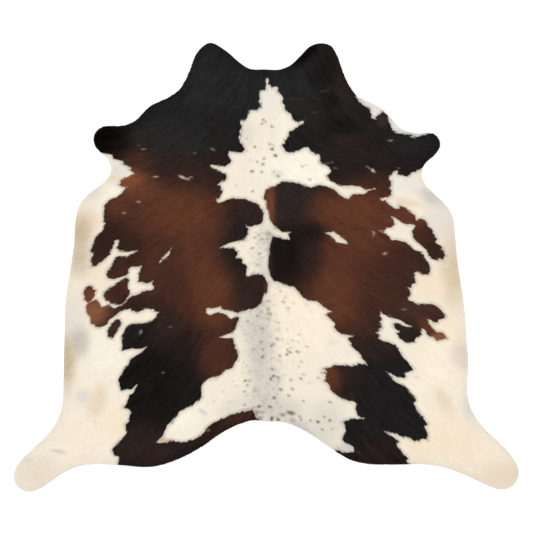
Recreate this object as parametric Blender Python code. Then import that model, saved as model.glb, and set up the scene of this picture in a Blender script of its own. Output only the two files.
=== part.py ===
"""Cowhide floor rug: one whole hair-on hide, laid flat. Metres, +Z up.

The origin is on the floor under the middle of the hide. +Y points to the neck, -Y to the tail, and
+X to the right of someone who looks down on the hair with the neck at the top. The underside is one
flat face at z = 0, on which the hide rests.
"""
import math

import bmesh
import bpy
from mathutils import Vector
from mathutils.geometry import delaunay_2d_cdt

# Driving dimensions
HIDE_WIDTH = 2.200            # across the two hind shanks, the widest place
HIDE_LENGTH = 1.957           # from the cheeks to the tips of the hind shanks
LEATHER = 0.0022              # tanned and shaved hide, without its hair
PILE_BELLY = 0.0026           # lying hair over the belly and the shanks
PILE_SPINE = 0.0044           # denser and coarser hair along the spine
SPINE_HALF_WIDTH = 0.230      # how far the thick band of hair runs out from the spine
PILE_UNEVEN = 0.0005          # how much the lying hair rises and falls
UNEVEN_PITCH = 0.290          # from one swell of the hair to the next
UNEVEN_SLANT = 0.35           # how far the swells lean from the spine's direction
HAIR_OVERHANG = 0.0016        # how far the hair covers the cut edge of the leather
ROLL_OFF = 0.0075             # over which the pile thins down to the rim

# Fineness of the mesh
RIM_STEP = 0.022              # along the rim
TOP_STEP = 0.060              # between the points of the top, which keep a share of it from the rim
TOP_CLEAR = 0.55
SPLINE_STEPS = 24             # from one drawn point of the rim to the next
MERGE = 1e-6
SHARP_ANGLE = 50              # degrees

# The rim, clockwise from the neck and seen from the hair side. Each row is one stretch of the hide.
# Its points are x to the right and y towards the neck, in millimetres from the middle of the hide.
MILLIMETRE = 0.001
RIM_STRETCHES = {
    "neck": [(-1, 863), (55, 862)],
    "right cheek": [(104, 881), (147, 921), (191, 964), (239, 977), (283, 965), (309, 924), (331, 862)],
    "right shoulder": [(357, 801), (396, 747), (462, 714), (514, 681), (554, 637), (597, 597)],
    "right fore shank": [(663, 584), (720, 586), (750, 563), (758, 526), (733, 487), (694, 452)],
    "right armpit": [(677, 417), (689, 366), (737, 315), (785, 267), (812, 220)],
    "right belly": [(821, 154), (831, 41), (851, -95), (866, -213), (874, -339), (880, -422),
                    (874, -527)],
    "right hind shank": [(886, -602), (934, -685), (999, -748), (1065, -818), (1096, -872),
                         (1097, -916), (1069, -956), (1021, -969), (956, -948), (868, -907)],
    "right rump": [(785, -876), (694, -860), (562, -861), (444, -858), (366, -840), (278, -787),
                   (200, -732), (134, -696)],
    "tail": [(73, -675), (7, -673), (-54, -668), (-115, -684)],
    "left rump": [(-194, -723), (-272, -778), (-368, -831), (-465, -865), (-530, -872), (-631, -864)],
    "left hind shank": [(-749, -859), (-823, -869), (-902, -910), (-971, -957), (-1033, -979),
                        (-1081, -959), (-1100, -912), (-1083, -860), (-1026, -798), (-954, -730)],
    "left belly": [(-910, -667), (-886, -584), (-883, -492), (-879, -309), (-872, -134), (-852, -3),
                   (-837, 102), (-831, 203)],
    "left armpit": [(-815, 268), (-779, 314), (-722, 358), (-685, 394), (-675, 434), (-701, 482)],
    "left fore shank": [(-740, 517), (-753, 557), (-740, 594), (-701, 615), (-622, 618), (-569, 640)],
    "left shoulder": [(-508, 701), (-421, 744), (-373, 782), (-333, 859)],
    "left cheek": [(-303, 935), (-246, 979), (-180, 948), (-115, 893), (-71, 866)],
}

# How the edge is built up from the floor. Each row is one loop of the rim: how far it lies in from
# the outermost hair, and its height as a share of the hide's thickness there.
EDGE_LOOPS = [
    {"name": "cut edge on the floor", "inset": HAIR_OVERHANG, "height": 0.0},
    {"name": "outermost hair", "inset": 0.0, "height": 0.30},
    {"name": "shoulder of the pile", "inset": 0.24 * ROLL_OFF, "height": 0.72},
    {"name": "full pile", "inset": ROLL_OFF, "height": 1.0},
]


def clear_scene():
    """Start from an empty scene."""
    for thing in list(bpy.data.objects):
        bpy.data.objects.remove(thing, do_unlink=True)


def smooth_loop(points):
    """Give a closed, evenly flowing curve through the points (a centripetal Catmull-Rom curve)."""
    curve = []
    count = len(points)
    for index in range(count):
        before, start, end, after = (points[(index + shift) % count] for shift in (-1, 0, 1, 2))
        t0 = 0.0
        t1 = t0 + math.sqrt((start - before).length)
        t2 = t1 + math.sqrt((end - start).length)
        t3 = t2 + math.sqrt((after - end).length)
        for step in range(SPLINE_STEPS):
            t = t1 + (t2 - t1) * step / SPLINE_STEPS
            a1 = before.lerp(start, (t - t0) / (t1 - t0))
            a2 = start.lerp(end, (t - t1) / (t2 - t1))
            a3 = end.lerp(after, (t - t2) / (t3 - t2))
            b1 = a1.lerp(a2, (t - t0) / (t2 - t0))
            b2 = a2.lerp(a3, (t - t1) / (t3 - t1))
            curve.append(b1.lerp(b2, (t - t1) / (t2 - t1)))
    return curve


def fit_to_size(curve):
    """Bring the drawn rim to the driving width and length, about the middle of the hide."""
    low = Vector((min(p.x for p in curve), min(p.y for p in curve)))
    high = Vector((max(p.x for p in curve), max(p.y for p in curve)))
    middle = (low + high) / 2
    across = HIDE_WIDTH / (high.x - low.x)
    along = HIDE_LENGTH / (high.y - low.y)
    return [Vector(((p.x - middle.x) * across, (p.y - middle.y) * along)) for p in curve]


def even_steps(curve, step):
    """Walk round a closed curve and give points at equal steps of about the given length."""
    lengths = [(curve[(i + 1) % len(curve)] - p).length for i, p in enumerate(curve)]
    count = round(sum(lengths) / step)
    spacing = sum(lengths) / count
    points = []
    walked = 0.0
    for index, length in enumerate(lengths):
        start = curve[index]
        end = curve[(index + 1) % len(curve)]
        while len(points) < count and len(points) * spacing < walked + length:
            points.append(start.lerp(end, (len(points) * spacing - walked) / length))
        walked += length
    return points


def moved_in(loop, distance):
    """Move a clockwise loop towards the middle of the hide by a distance."""
    moved = []
    for index, point in enumerate(loop):
        along = (loop[(index + 1) % len(loop)] - loop[index - 1]).normalized()
        moved.append(point + Vector((along.y, -along.x)) * distance)
    return moved


def swell(place):
    """Give the rise and fall of the lying hair, from -1 to 1, in waves that run aslant."""
    turn = 2 * math.pi / UNEVEN_PITCH
    across = place.x + UNEVEN_SLANT * place.y
    along = place.y - UNEVEN_SLANT * place.x
    return math.sin(turn * across) * math.cos(turn * along)


def thickness(place):
    """Give the height of the hair above the floor at a place, away from the rim."""
    spine = math.exp(-(place.x / SPINE_HALF_WIDTH) ** 2)
    pile = PILE_BELLY + (PILE_SPINE - PILE_BELLY) * spine
    return LEATHER + pile + PILE_UNEVEN * swell(place)


def inside(place, loop, margin):
    """Say whether a place lies inside a loop and at least the margin away from its points."""
    crossings = 0
    for index, end in enumerate(loop):
        start = loop[index - 1]
        if (start.y > place.y) != (end.y > place.y):
            crossing = start.x + (place.y - start.y) / (end.y - start.y) * (end.x - start.x)
            crossings += crossing > place.x
    return crossings % 2 == 1 and min((point - place).length for point in loop) > margin


def top_places(loop):
    """Give evenly spread places inside the loop, in rows that are set half a step over in turn."""
    row_step = TOP_STEP * math.sqrt(3) / 2
    rows = int(HIDE_LENGTH / 2 / row_step)
    columns = int(HIDE_WIDTH / 2 / TOP_STEP)
    places = []
    for row in range(-rows, rows + 1):
        shift = TOP_STEP / 2 * (row % 2)
        for column in range(-columns, columns + 1):
            place = Vector((column * TOP_STEP + shift, row * row_step))
            if inside(place, loop, TOP_STEP * TOP_CLEAR):
                places.append(place)
    return places


def filled(loop, places):
    """Fill a loop, with the given places inside it, with evenly shaped triangles."""
    points = loop + places
    edges = [(index, (index + 1) % len(loop)) for index in range(len(loop))]
    inner_only = 1
    vertices, _, faces, _, _, _ = delaunay_2d_cdt(points, edges, [], inner_only, MERGE)
    assert len(vertices) == len(points)
    return faces


def principled(name, color, roughness):
    """Make a plain material."""
    material = bpy.data.materials.new(name)
    material.use_nodes = True
    shader = material.node_tree.nodes["Principled BSDF"]
    shader.inputs["Base Color"].default_value = (*color, 1.0)
    shader.inputs["Roughness"].default_value = roughness
    shader.inputs["Metallic"].default_value = 0.0
    return material


def build_hide():
    """Build the whole hide as one closed solid: flat underside, rounded rim and lying hair on top."""
    drawn = [Vector(point) * MILLIMETRE for stretch in RIM_STRETCHES.values() for point in stretch]
    rim = fit_to_size(even_steps(smooth_loop(drawn), RIM_STEP))
    mesh = bmesh.new()
    loops = []
    for row in EDGE_LOOPS:
        places = moved_in(rim, row["inset"])
        loops.append([mesh.verts.new((*p, row["height"] * thickness(p))) for p in places])
    for lower, upper in zip(loops, loops[1:]):
        for index in range(len(rim)):
            here = index - 1
            mesh.faces.new((lower[here], upper[here], upper[index], lower[index]))
    top_rim = moved_in(rim, EDGE_LOOPS[-1]["inset"])
    places = top_places(top_rim)
    top = loops[-1] + [mesh.verts.new((*p, thickness(p))) for p in places]
    for corners in filled(top_rim, places):
        mesh.faces.new([top[corner] for corner in corners])
    flesh_side = 1
    for corners in filled(moved_in(rim, EDGE_LOOPS[0]["inset"]), []):
        face = mesh.faces.new([loops[0][corner] for corner in reversed(corners)])
        face.material_index = flesh_side
    bmesh.ops.recalc_face_normals(mesh, faces=mesh.faces)
    data = bpy.data.meshes.new("hide")
    mesh.to_mesh(data)
    mesh.free()
    data.shade_smooth()
    data.set_sharp_from_angle(angle=math.radians(SHARP_ANGLE))
    data.materials.append(principled("cowhide hair", (0.090, 0.038, 0.022), 0.55))
    data.materials.append(principled("suede flesh side", (0.560, 0.430, 0.310), 0.90))
    hide = bpy.data.objects.new("hide", data)
    bpy.context.scene.collection.objects.link(hide)
    return hide


clear_scene()
build_hide()
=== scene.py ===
"""A whole cowhide rug, laid flat with its hair side up: the tanned hide, its markings, its lying hair.

Metres, +Z up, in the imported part's frame: +Y points to the neck and -Y to the tail. The markings are
drawn in centimetres from the middle of the hide, x to the right and y to the neck.
"""
import itertools
import math

import bmesh
import bpy
import numpy as np
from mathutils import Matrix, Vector
from mathutils.geometry import delaunay_2d_cdt
from mathutils.kdtree import KDTree


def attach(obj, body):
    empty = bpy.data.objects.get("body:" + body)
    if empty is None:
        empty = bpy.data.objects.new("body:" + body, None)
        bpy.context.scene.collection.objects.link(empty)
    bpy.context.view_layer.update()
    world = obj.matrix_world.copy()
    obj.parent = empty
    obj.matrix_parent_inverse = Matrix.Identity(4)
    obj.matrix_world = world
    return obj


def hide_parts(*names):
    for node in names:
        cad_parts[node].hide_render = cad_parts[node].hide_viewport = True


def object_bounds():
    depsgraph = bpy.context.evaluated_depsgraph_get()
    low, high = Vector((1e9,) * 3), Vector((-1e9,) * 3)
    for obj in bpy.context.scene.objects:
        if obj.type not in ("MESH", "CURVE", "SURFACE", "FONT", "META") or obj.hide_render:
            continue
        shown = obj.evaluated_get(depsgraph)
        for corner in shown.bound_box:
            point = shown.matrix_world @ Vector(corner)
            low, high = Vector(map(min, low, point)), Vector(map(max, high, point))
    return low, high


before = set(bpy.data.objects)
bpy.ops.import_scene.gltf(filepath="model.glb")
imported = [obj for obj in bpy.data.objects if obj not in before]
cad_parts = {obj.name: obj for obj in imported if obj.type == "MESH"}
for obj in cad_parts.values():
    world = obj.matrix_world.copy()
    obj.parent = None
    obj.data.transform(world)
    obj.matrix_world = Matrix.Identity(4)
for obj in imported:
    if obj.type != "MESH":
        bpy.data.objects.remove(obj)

cad_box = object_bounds()
chance = np.random.default_rng(7)

# ----------------------------------------------------------------------------------------------
# The tanned hide. One whole skin, tanned with its hair on, shaved from the flesh side to an even
# thickness and trimmed with a knife round its rim. It lies flat on its suede side, and its rim and
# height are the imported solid's: a band of cut leather at the floor, and the coat rolling off over it.
HIDE_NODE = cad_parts["hide"]
ON_FLOOR = 0.0002                 # what lies lower than this is the underside
HAIR_OVER_EDGE = 0.0016           # how far the outermost hair stands out past the solid's lower edge
HAIR_DEPTH = 0.0010               # the loose top of the pile, which the separate locks fill
RIM_STEP = 0.0062                 # between the points round the rim
SKIN_STEP = 0.0074                # between the points of the coat
SUEDE_STEP = 0.050                # and between those of the flat underside
STEP_UNEVEN = 0.14                # how far a point strays, as a share of the step
STEP_OFF_RIM = 0.6                # how far the first points keep off the rim's loops, also as a share
FOLD = 50                         # degrees between two faces that meet in a sharp line
FAR = 9.0                         # farther than any place lies from the rim
WELD = 1e-6                       # places closer than this are one

# How the sheet is built up at its rim: how far each loop lies in from the outermost hair, and its
# height as a share of the leather's or of the coat's full height there. The tips carry the coat's
# height on beyond its outermost loop, for the locks that end there.
LEATHER = 0.0022
LEATHER_EDGE = [
    {"name": "foot of the cut", "inset": 0.0024, "height": 0.0},
    {"name": "middle of the cut", "inset": 0.0019, "height": 0.45},
    {"name": "grain side of the cut", "inset": 0.0021, "height": 0.95},
]
COAT_TIPS = [
    {"name": "past the outermost hair", "inset": -0.003, "height": 0.15},
    {"name": "outermost hair", "inset": 0.0, "height": 0.40},
]
COAT_EDGE = [
    {"name": "roots at the cut", "inset": 0.0026, "height": 0.66},
    {"name": "shoulder of the coat", "inset": 0.0048, "height": 0.86},
    {"name": "full coat", "inset": 0.0090, "height": 1.0},
]


def cut_edge(node):
    """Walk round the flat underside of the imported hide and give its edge, counterclockwise."""
    mesh = bmesh.new()
    mesh.from_mesh(node.data)
    bmesh.ops.remove_doubles(mesh, verts=mesh.verts, dist=WELD)
    under = {face for face in mesh.faces if max(v.co.z for v in face.verts) < ON_FLOOR}
    neighbours = {}
    for edge in mesh.edges:
        if sum(face in under for face in edge.link_faces) == 1:
            for here, there in (edge.verts, reversed(edge.verts)):
                neighbours.setdefault(here, []).append(there)
    here = next(iter(neighbours))
    walked = [here]
    while len(walked) < len(neighbours):
        here = next(vert for vert in neighbours[here] if vert not in walked[-2:])
        walked.append(here)
    loop = np.array([vert.co.xy[:] for vert in walked])
    mesh.free()
    turn = np.roll(loop, -1, 0)
    doubled_area = (loop[:, 0] * turn[:, 1] - loop[:, 1] * turn[:, 0]).sum()
    return loop if doubled_area > 0 else loop[::-1]


CURVE_PLACES = 16                 # on the smooth curve from one place of a loop to the next


def evenly(loop, step):
    """Run a smooth closed curve through a loop's places and give places on it at even steps."""
    before, after, beyond = (np.roll(loop, shift, 0)[:, None] for shift in (1, -1, -2))
    here = loop[:, None]
    t = np.linspace(0, 1, CURVE_PLACES, endpoint=False)[None, :, None]
    curve = here + t / 2 * (after - before)
    curve = curve + t ** 2 / 2 * (2 * before - 5 * here + 4 * after - beyond)
    curve = curve + t ** 3 / 2 * (3 * here - before - 3 * after + beyond)
    curve = curve.reshape(-1, 2)
    closed = np.vstack([curve, curve[:1]])
    walked = np.append(0, np.cumsum(np.linalg.norm(np.diff(closed, axis=0), axis=1)))
    count = round(walked[-1] / step)
    stops = np.arange(count) * walked[-1] / count
    return np.column_stack([np.interp(stops, walked, closed[:, axis]) for axis in (0, 1)])


def outward(loop):
    """Give the way out of a counterclockwise loop at each of its places."""
    along = np.roll(loop, -1, 0) - np.roll(loop, 1, 0)
    along /= np.linalg.norm(along, axis=1)[:, None]
    return np.column_stack([along[:, 1], -along[:, 0]])


MEASURED_AT_ONCE = 2000           # places, so that the work stays small in memory


def depth_inside(places, loop, reach=FAR):
    """Give how deep each place lies inside a closed loop, negative outside it, as far as the reach."""
    depth = np.full(len(places), -reach)
    low, high = loop.min(0) - reach, loop.max(0) + reach
    near = np.flatnonzero(((places > low) & (places < high)).all(1))
    x0, y0 = loop.T
    run_x, run_y = (np.roll(loop, -1, 0) - loop).T
    length2 = run_x ** 2 + run_y ** 2
    slope = run_x / np.where(run_y == 0, WELD, run_y)
    for some in np.array_split(near, len(near) // MEASURED_AT_ONCE + 1):
        x, y = (places[some, axis, None] - start for axis, start in ((0, x0), (1, y0)))
        share = np.clip((x * run_x + y * run_y) / length2, 0, 1)
        distance = np.sqrt(((x - share * run_x) ** 2 + (y - share * run_y) ** 2).min(1))
        level = (y > 0) != (y > run_y)
        inside = (level & (y * slope > x)).sum(1) % 2 == 1
        depth[some] = np.clip(np.where(inside, distance, -distance), -reach, reach)
    return depth


RIM_THINNED = 3                   # depths are measured from every third place of the rim
rim = evenly(cut_edge(HIDE_NODE), RIM_STEP)
rim = rim + outward(rim) * HAIR_OVER_EDGE
rim_coarse = rim[::RIM_THINNED]

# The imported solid's height, read at its top points that lie clear of the rim, as a smooth map that
# reaches a step past the hide on every side.
MAP_STEP = 0.030
MAP_NEAREST = 4
CLEAR_OF_RIM = 0.006
packed = np.array([vert.co for vert in HIDE_NODE.data.vertices])
packed = packed[(packed[:, 2] > ON_FLOOR) & (depth_inside(packed[:, :2], rim_coarse) > CLEAR_OF_RIM)]
packed_tree = KDTree(len(packed))
for number, top in enumerate(packed):
    packed_tree.insert((top[0], top[1], 0), number)
packed_tree.balance()
map_low = np.array(cad_box[0].xy) - MAP_STEP
map_size = np.ceil((np.array(cad_box[1].xy) - map_low) / MAP_STEP).astype(int) + 2
height_map = np.empty(map_size)
for column, row in np.ndindex(*map_size):
    spot = map_low + MAP_STEP * np.array([column, row])
    found = packed_tree.find_n((spot[0], spot[1], 0), MAP_NEAREST)
    nearness = [1 / (gap ** 2 + MAP_STEP ** 2) for _, _, gap in found]
    height_map[column, row] = np.average([packed[index, 2] for _, index, _ in found], weights=nearness)


def read_map(values, low, step, places):
    """Read a map of evenly spaced values at any places, smoothly from one value to the next."""
    at = np.clip((places - low) / step, 0, np.array(values.shape) - 1 - WELD)
    cell = at.astype(int)
    part = at - cell
    part = part * part * (3 - 2 * part)
    left, right = (values[cell[:, 0] + side, cell[:, 1]] for side in (0, 1))
    left_up, right_up = (values[cell[:, 0] + side, cell[:, 1] + 1] for side in (0, 1))
    lower = left + (right - left) * part[:, 0]
    upper = left_up + (right_up - left_up) * part[:, 0]
    return lower + (upper - lower) * part[:, 1]


# How deep every place lies in from the outermost hair, as a map too.
INSET_STEP = 0.010
INSET_REACH = 0.10
inset_size = (map_size * MAP_STEP / INSET_STEP).astype(int)
squares = map_low + INSET_STEP * np.indices(inset_size).reshape(2, -1).T
inset_map = depth_inside(squares, rim_coarse, INSET_REACH).reshape(inset_size)


def coat_height(places, inset):
    """Give the height of the coat's body at places that lie so far in from the outermost hair."""
    full = read_map(height_map, map_low, MAP_STEP, places) - HAIR_DEPTH
    insets, shares = ([row[key] for row in COAT_TIPS + COAT_EDGE] for key in ("inset", "height"))
    return full * np.interp(inset, insets, shares)


def lattice(step, low, high):
    """Give places in rows that are set over by half a step in turn, each a little off its place."""
    rows = np.arange(low[1], high[1], step * math.sqrt(3) / 2)
    columns = np.arange(low[0], high[0], step)
    x, y = np.meshgrid(columns, rows)
    x = x + step / 2 * (np.arange(len(rows)) % 2)[:, None]
    places = np.column_stack([x.ravel(), y.ravel()])
    return places + chance.uniform(-STEP_UNEVEN, STEP_UNEVEN, places.shape) * step


def filled(loop, inner):
    """Fill a loop that has places inside it with evenly shaped triangles."""
    points = [Vector(place) for place in np.vstack([loop, inner])]
    edges = [(index, (index + 1) % len(loop)) for index in range(len(loop))]
    keep_inside = 1
    return np.array(delaunay_2d_cdt(points, edges, [], keep_inside, WELD)[2])


def put_in_scene(name, data):
    """Make an object of a mesh, a lamp or a camera, and put it in the scene."""
    item = bpy.data.objects.new(name, data)
    bpy.context.scene.collection.objects.link(item)
    return item


low, high = rim.min(0), rim.max(0)
skin = lattice(SKIN_STEP, low, high)
skin = skin[depth_inside(skin, rim_coarse) > COAT_EDGE[-1]["inset"] + STEP_OFF_RIM * SKIN_STEP]
suede = lattice(SUEDE_STEP, low, high)
suede = suede[depth_inside(suede, rim_coarse) > STEP_OFF_RIM * SUEDE_STEP]

ring = len(rim)
loops = []
for row in LEATHER_EDGE:
    places = rim - outward(rim) * row["inset"]
    loops.append(np.column_stack([places, np.full(ring, LEATHER * row["height"])]))
for row in COAT_EDGE:
    places = rim - outward(rim) * row["inset"]
    loops.append(np.column_stack([places, coat_height(places, row["inset"])]))
coat_top = np.column_stack([skin, coat_height(skin, np.full(len(skin), FAR))])
underside = np.column_stack([suede, np.zeros(len(suede))])
vertices = np.vstack([*loops, coat_top, underside])

here = np.arange(ring)
there = (here + 1) % ring
last_loop = (len(loops) - 1) * ring
sides = [
    np.column_stack([here + lower, there + lower, there + lower + ring, here + lower + ring])
    for lower in range(0, last_loop, ring)
]
top = filled(loops[-1][:, :2], skin) + last_loop
below = filled(loops[0][:, :2], suede)[:, ::-1]
below = np.where(below < ring, below, below + last_loop + len(skin))
faces = [face for group in (*sides, top, below) for face in group.tolist()]
hide_data = bpy.data.meshes.new("hide_skin")
hide_data.from_pydata(vertices.tolist(), [], faces)
coat_slot, edge_slot, suede_slot = range(3)
face_slots = np.full(len(faces), coat_slot)
face_slots[:(len(LEATHER_EDGE) - 1) * ring] = edge_slot
face_slots[-len(below):] = suede_slot
hide_data.polygons.foreach_set("material_index", face_slots)
hide_data.shade_smooth()
hide_data.set_sharp_from_angle(angle=math.radians(FOLD))
hide = put_in_scene("hide_skin", hide_data)

# ----------------------------------------------------------------------------------------------
# The markings. They grow in the hair itself: black and brown patches with combed, broken edges on a
# cream coat, small ticks of colour where the two mix over the spine, and pale nicks in the dark hair.
CENTIMETRE = 0.01
EDGE_REACH = 3.0                  # centimetres, past which a patch's edge makes no difference

# How the hair lies on the right half of the hide, and mirrored on the left. Each row is a place and
# the turn, in degrees, away from the way straight to the tail and out to the side.
HAIR_WAYS = [
    ("poll", 4, 92, 10), ("cheek", 26, 92, 32), ("neck", 16, 74, 42), ("crest", 5, 66, 14),
    ("shoulder", 34, 60, 80), ("fore shank", 66, 53, 92), ("withers", 10, 46, 50), ("armpit", 56, 34, 84),
    ("back", 9, 12, 56), ("ribs", 32, 16, 84), ("flank", 60, 8, 86), ("belly", 82, 8, 66),
    ("loin", 9, -22, 36), ("hip", 34, -24, 74), ("fold of the flank", 66, -24, 66),
    ("belly rim", 84, -34, 48), ("rump", 12, -52, 22), ("thigh", 38, -56, 44),
    ("outer thigh", 66, -58, 48), ("tail", 4, -68, 8), ("hind rim", 50, -82, 36),
    ("hind shank", 92, -82, 54)]
WAY_REACH = 9.0                   # centimetres over which one way turns into the next

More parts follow.
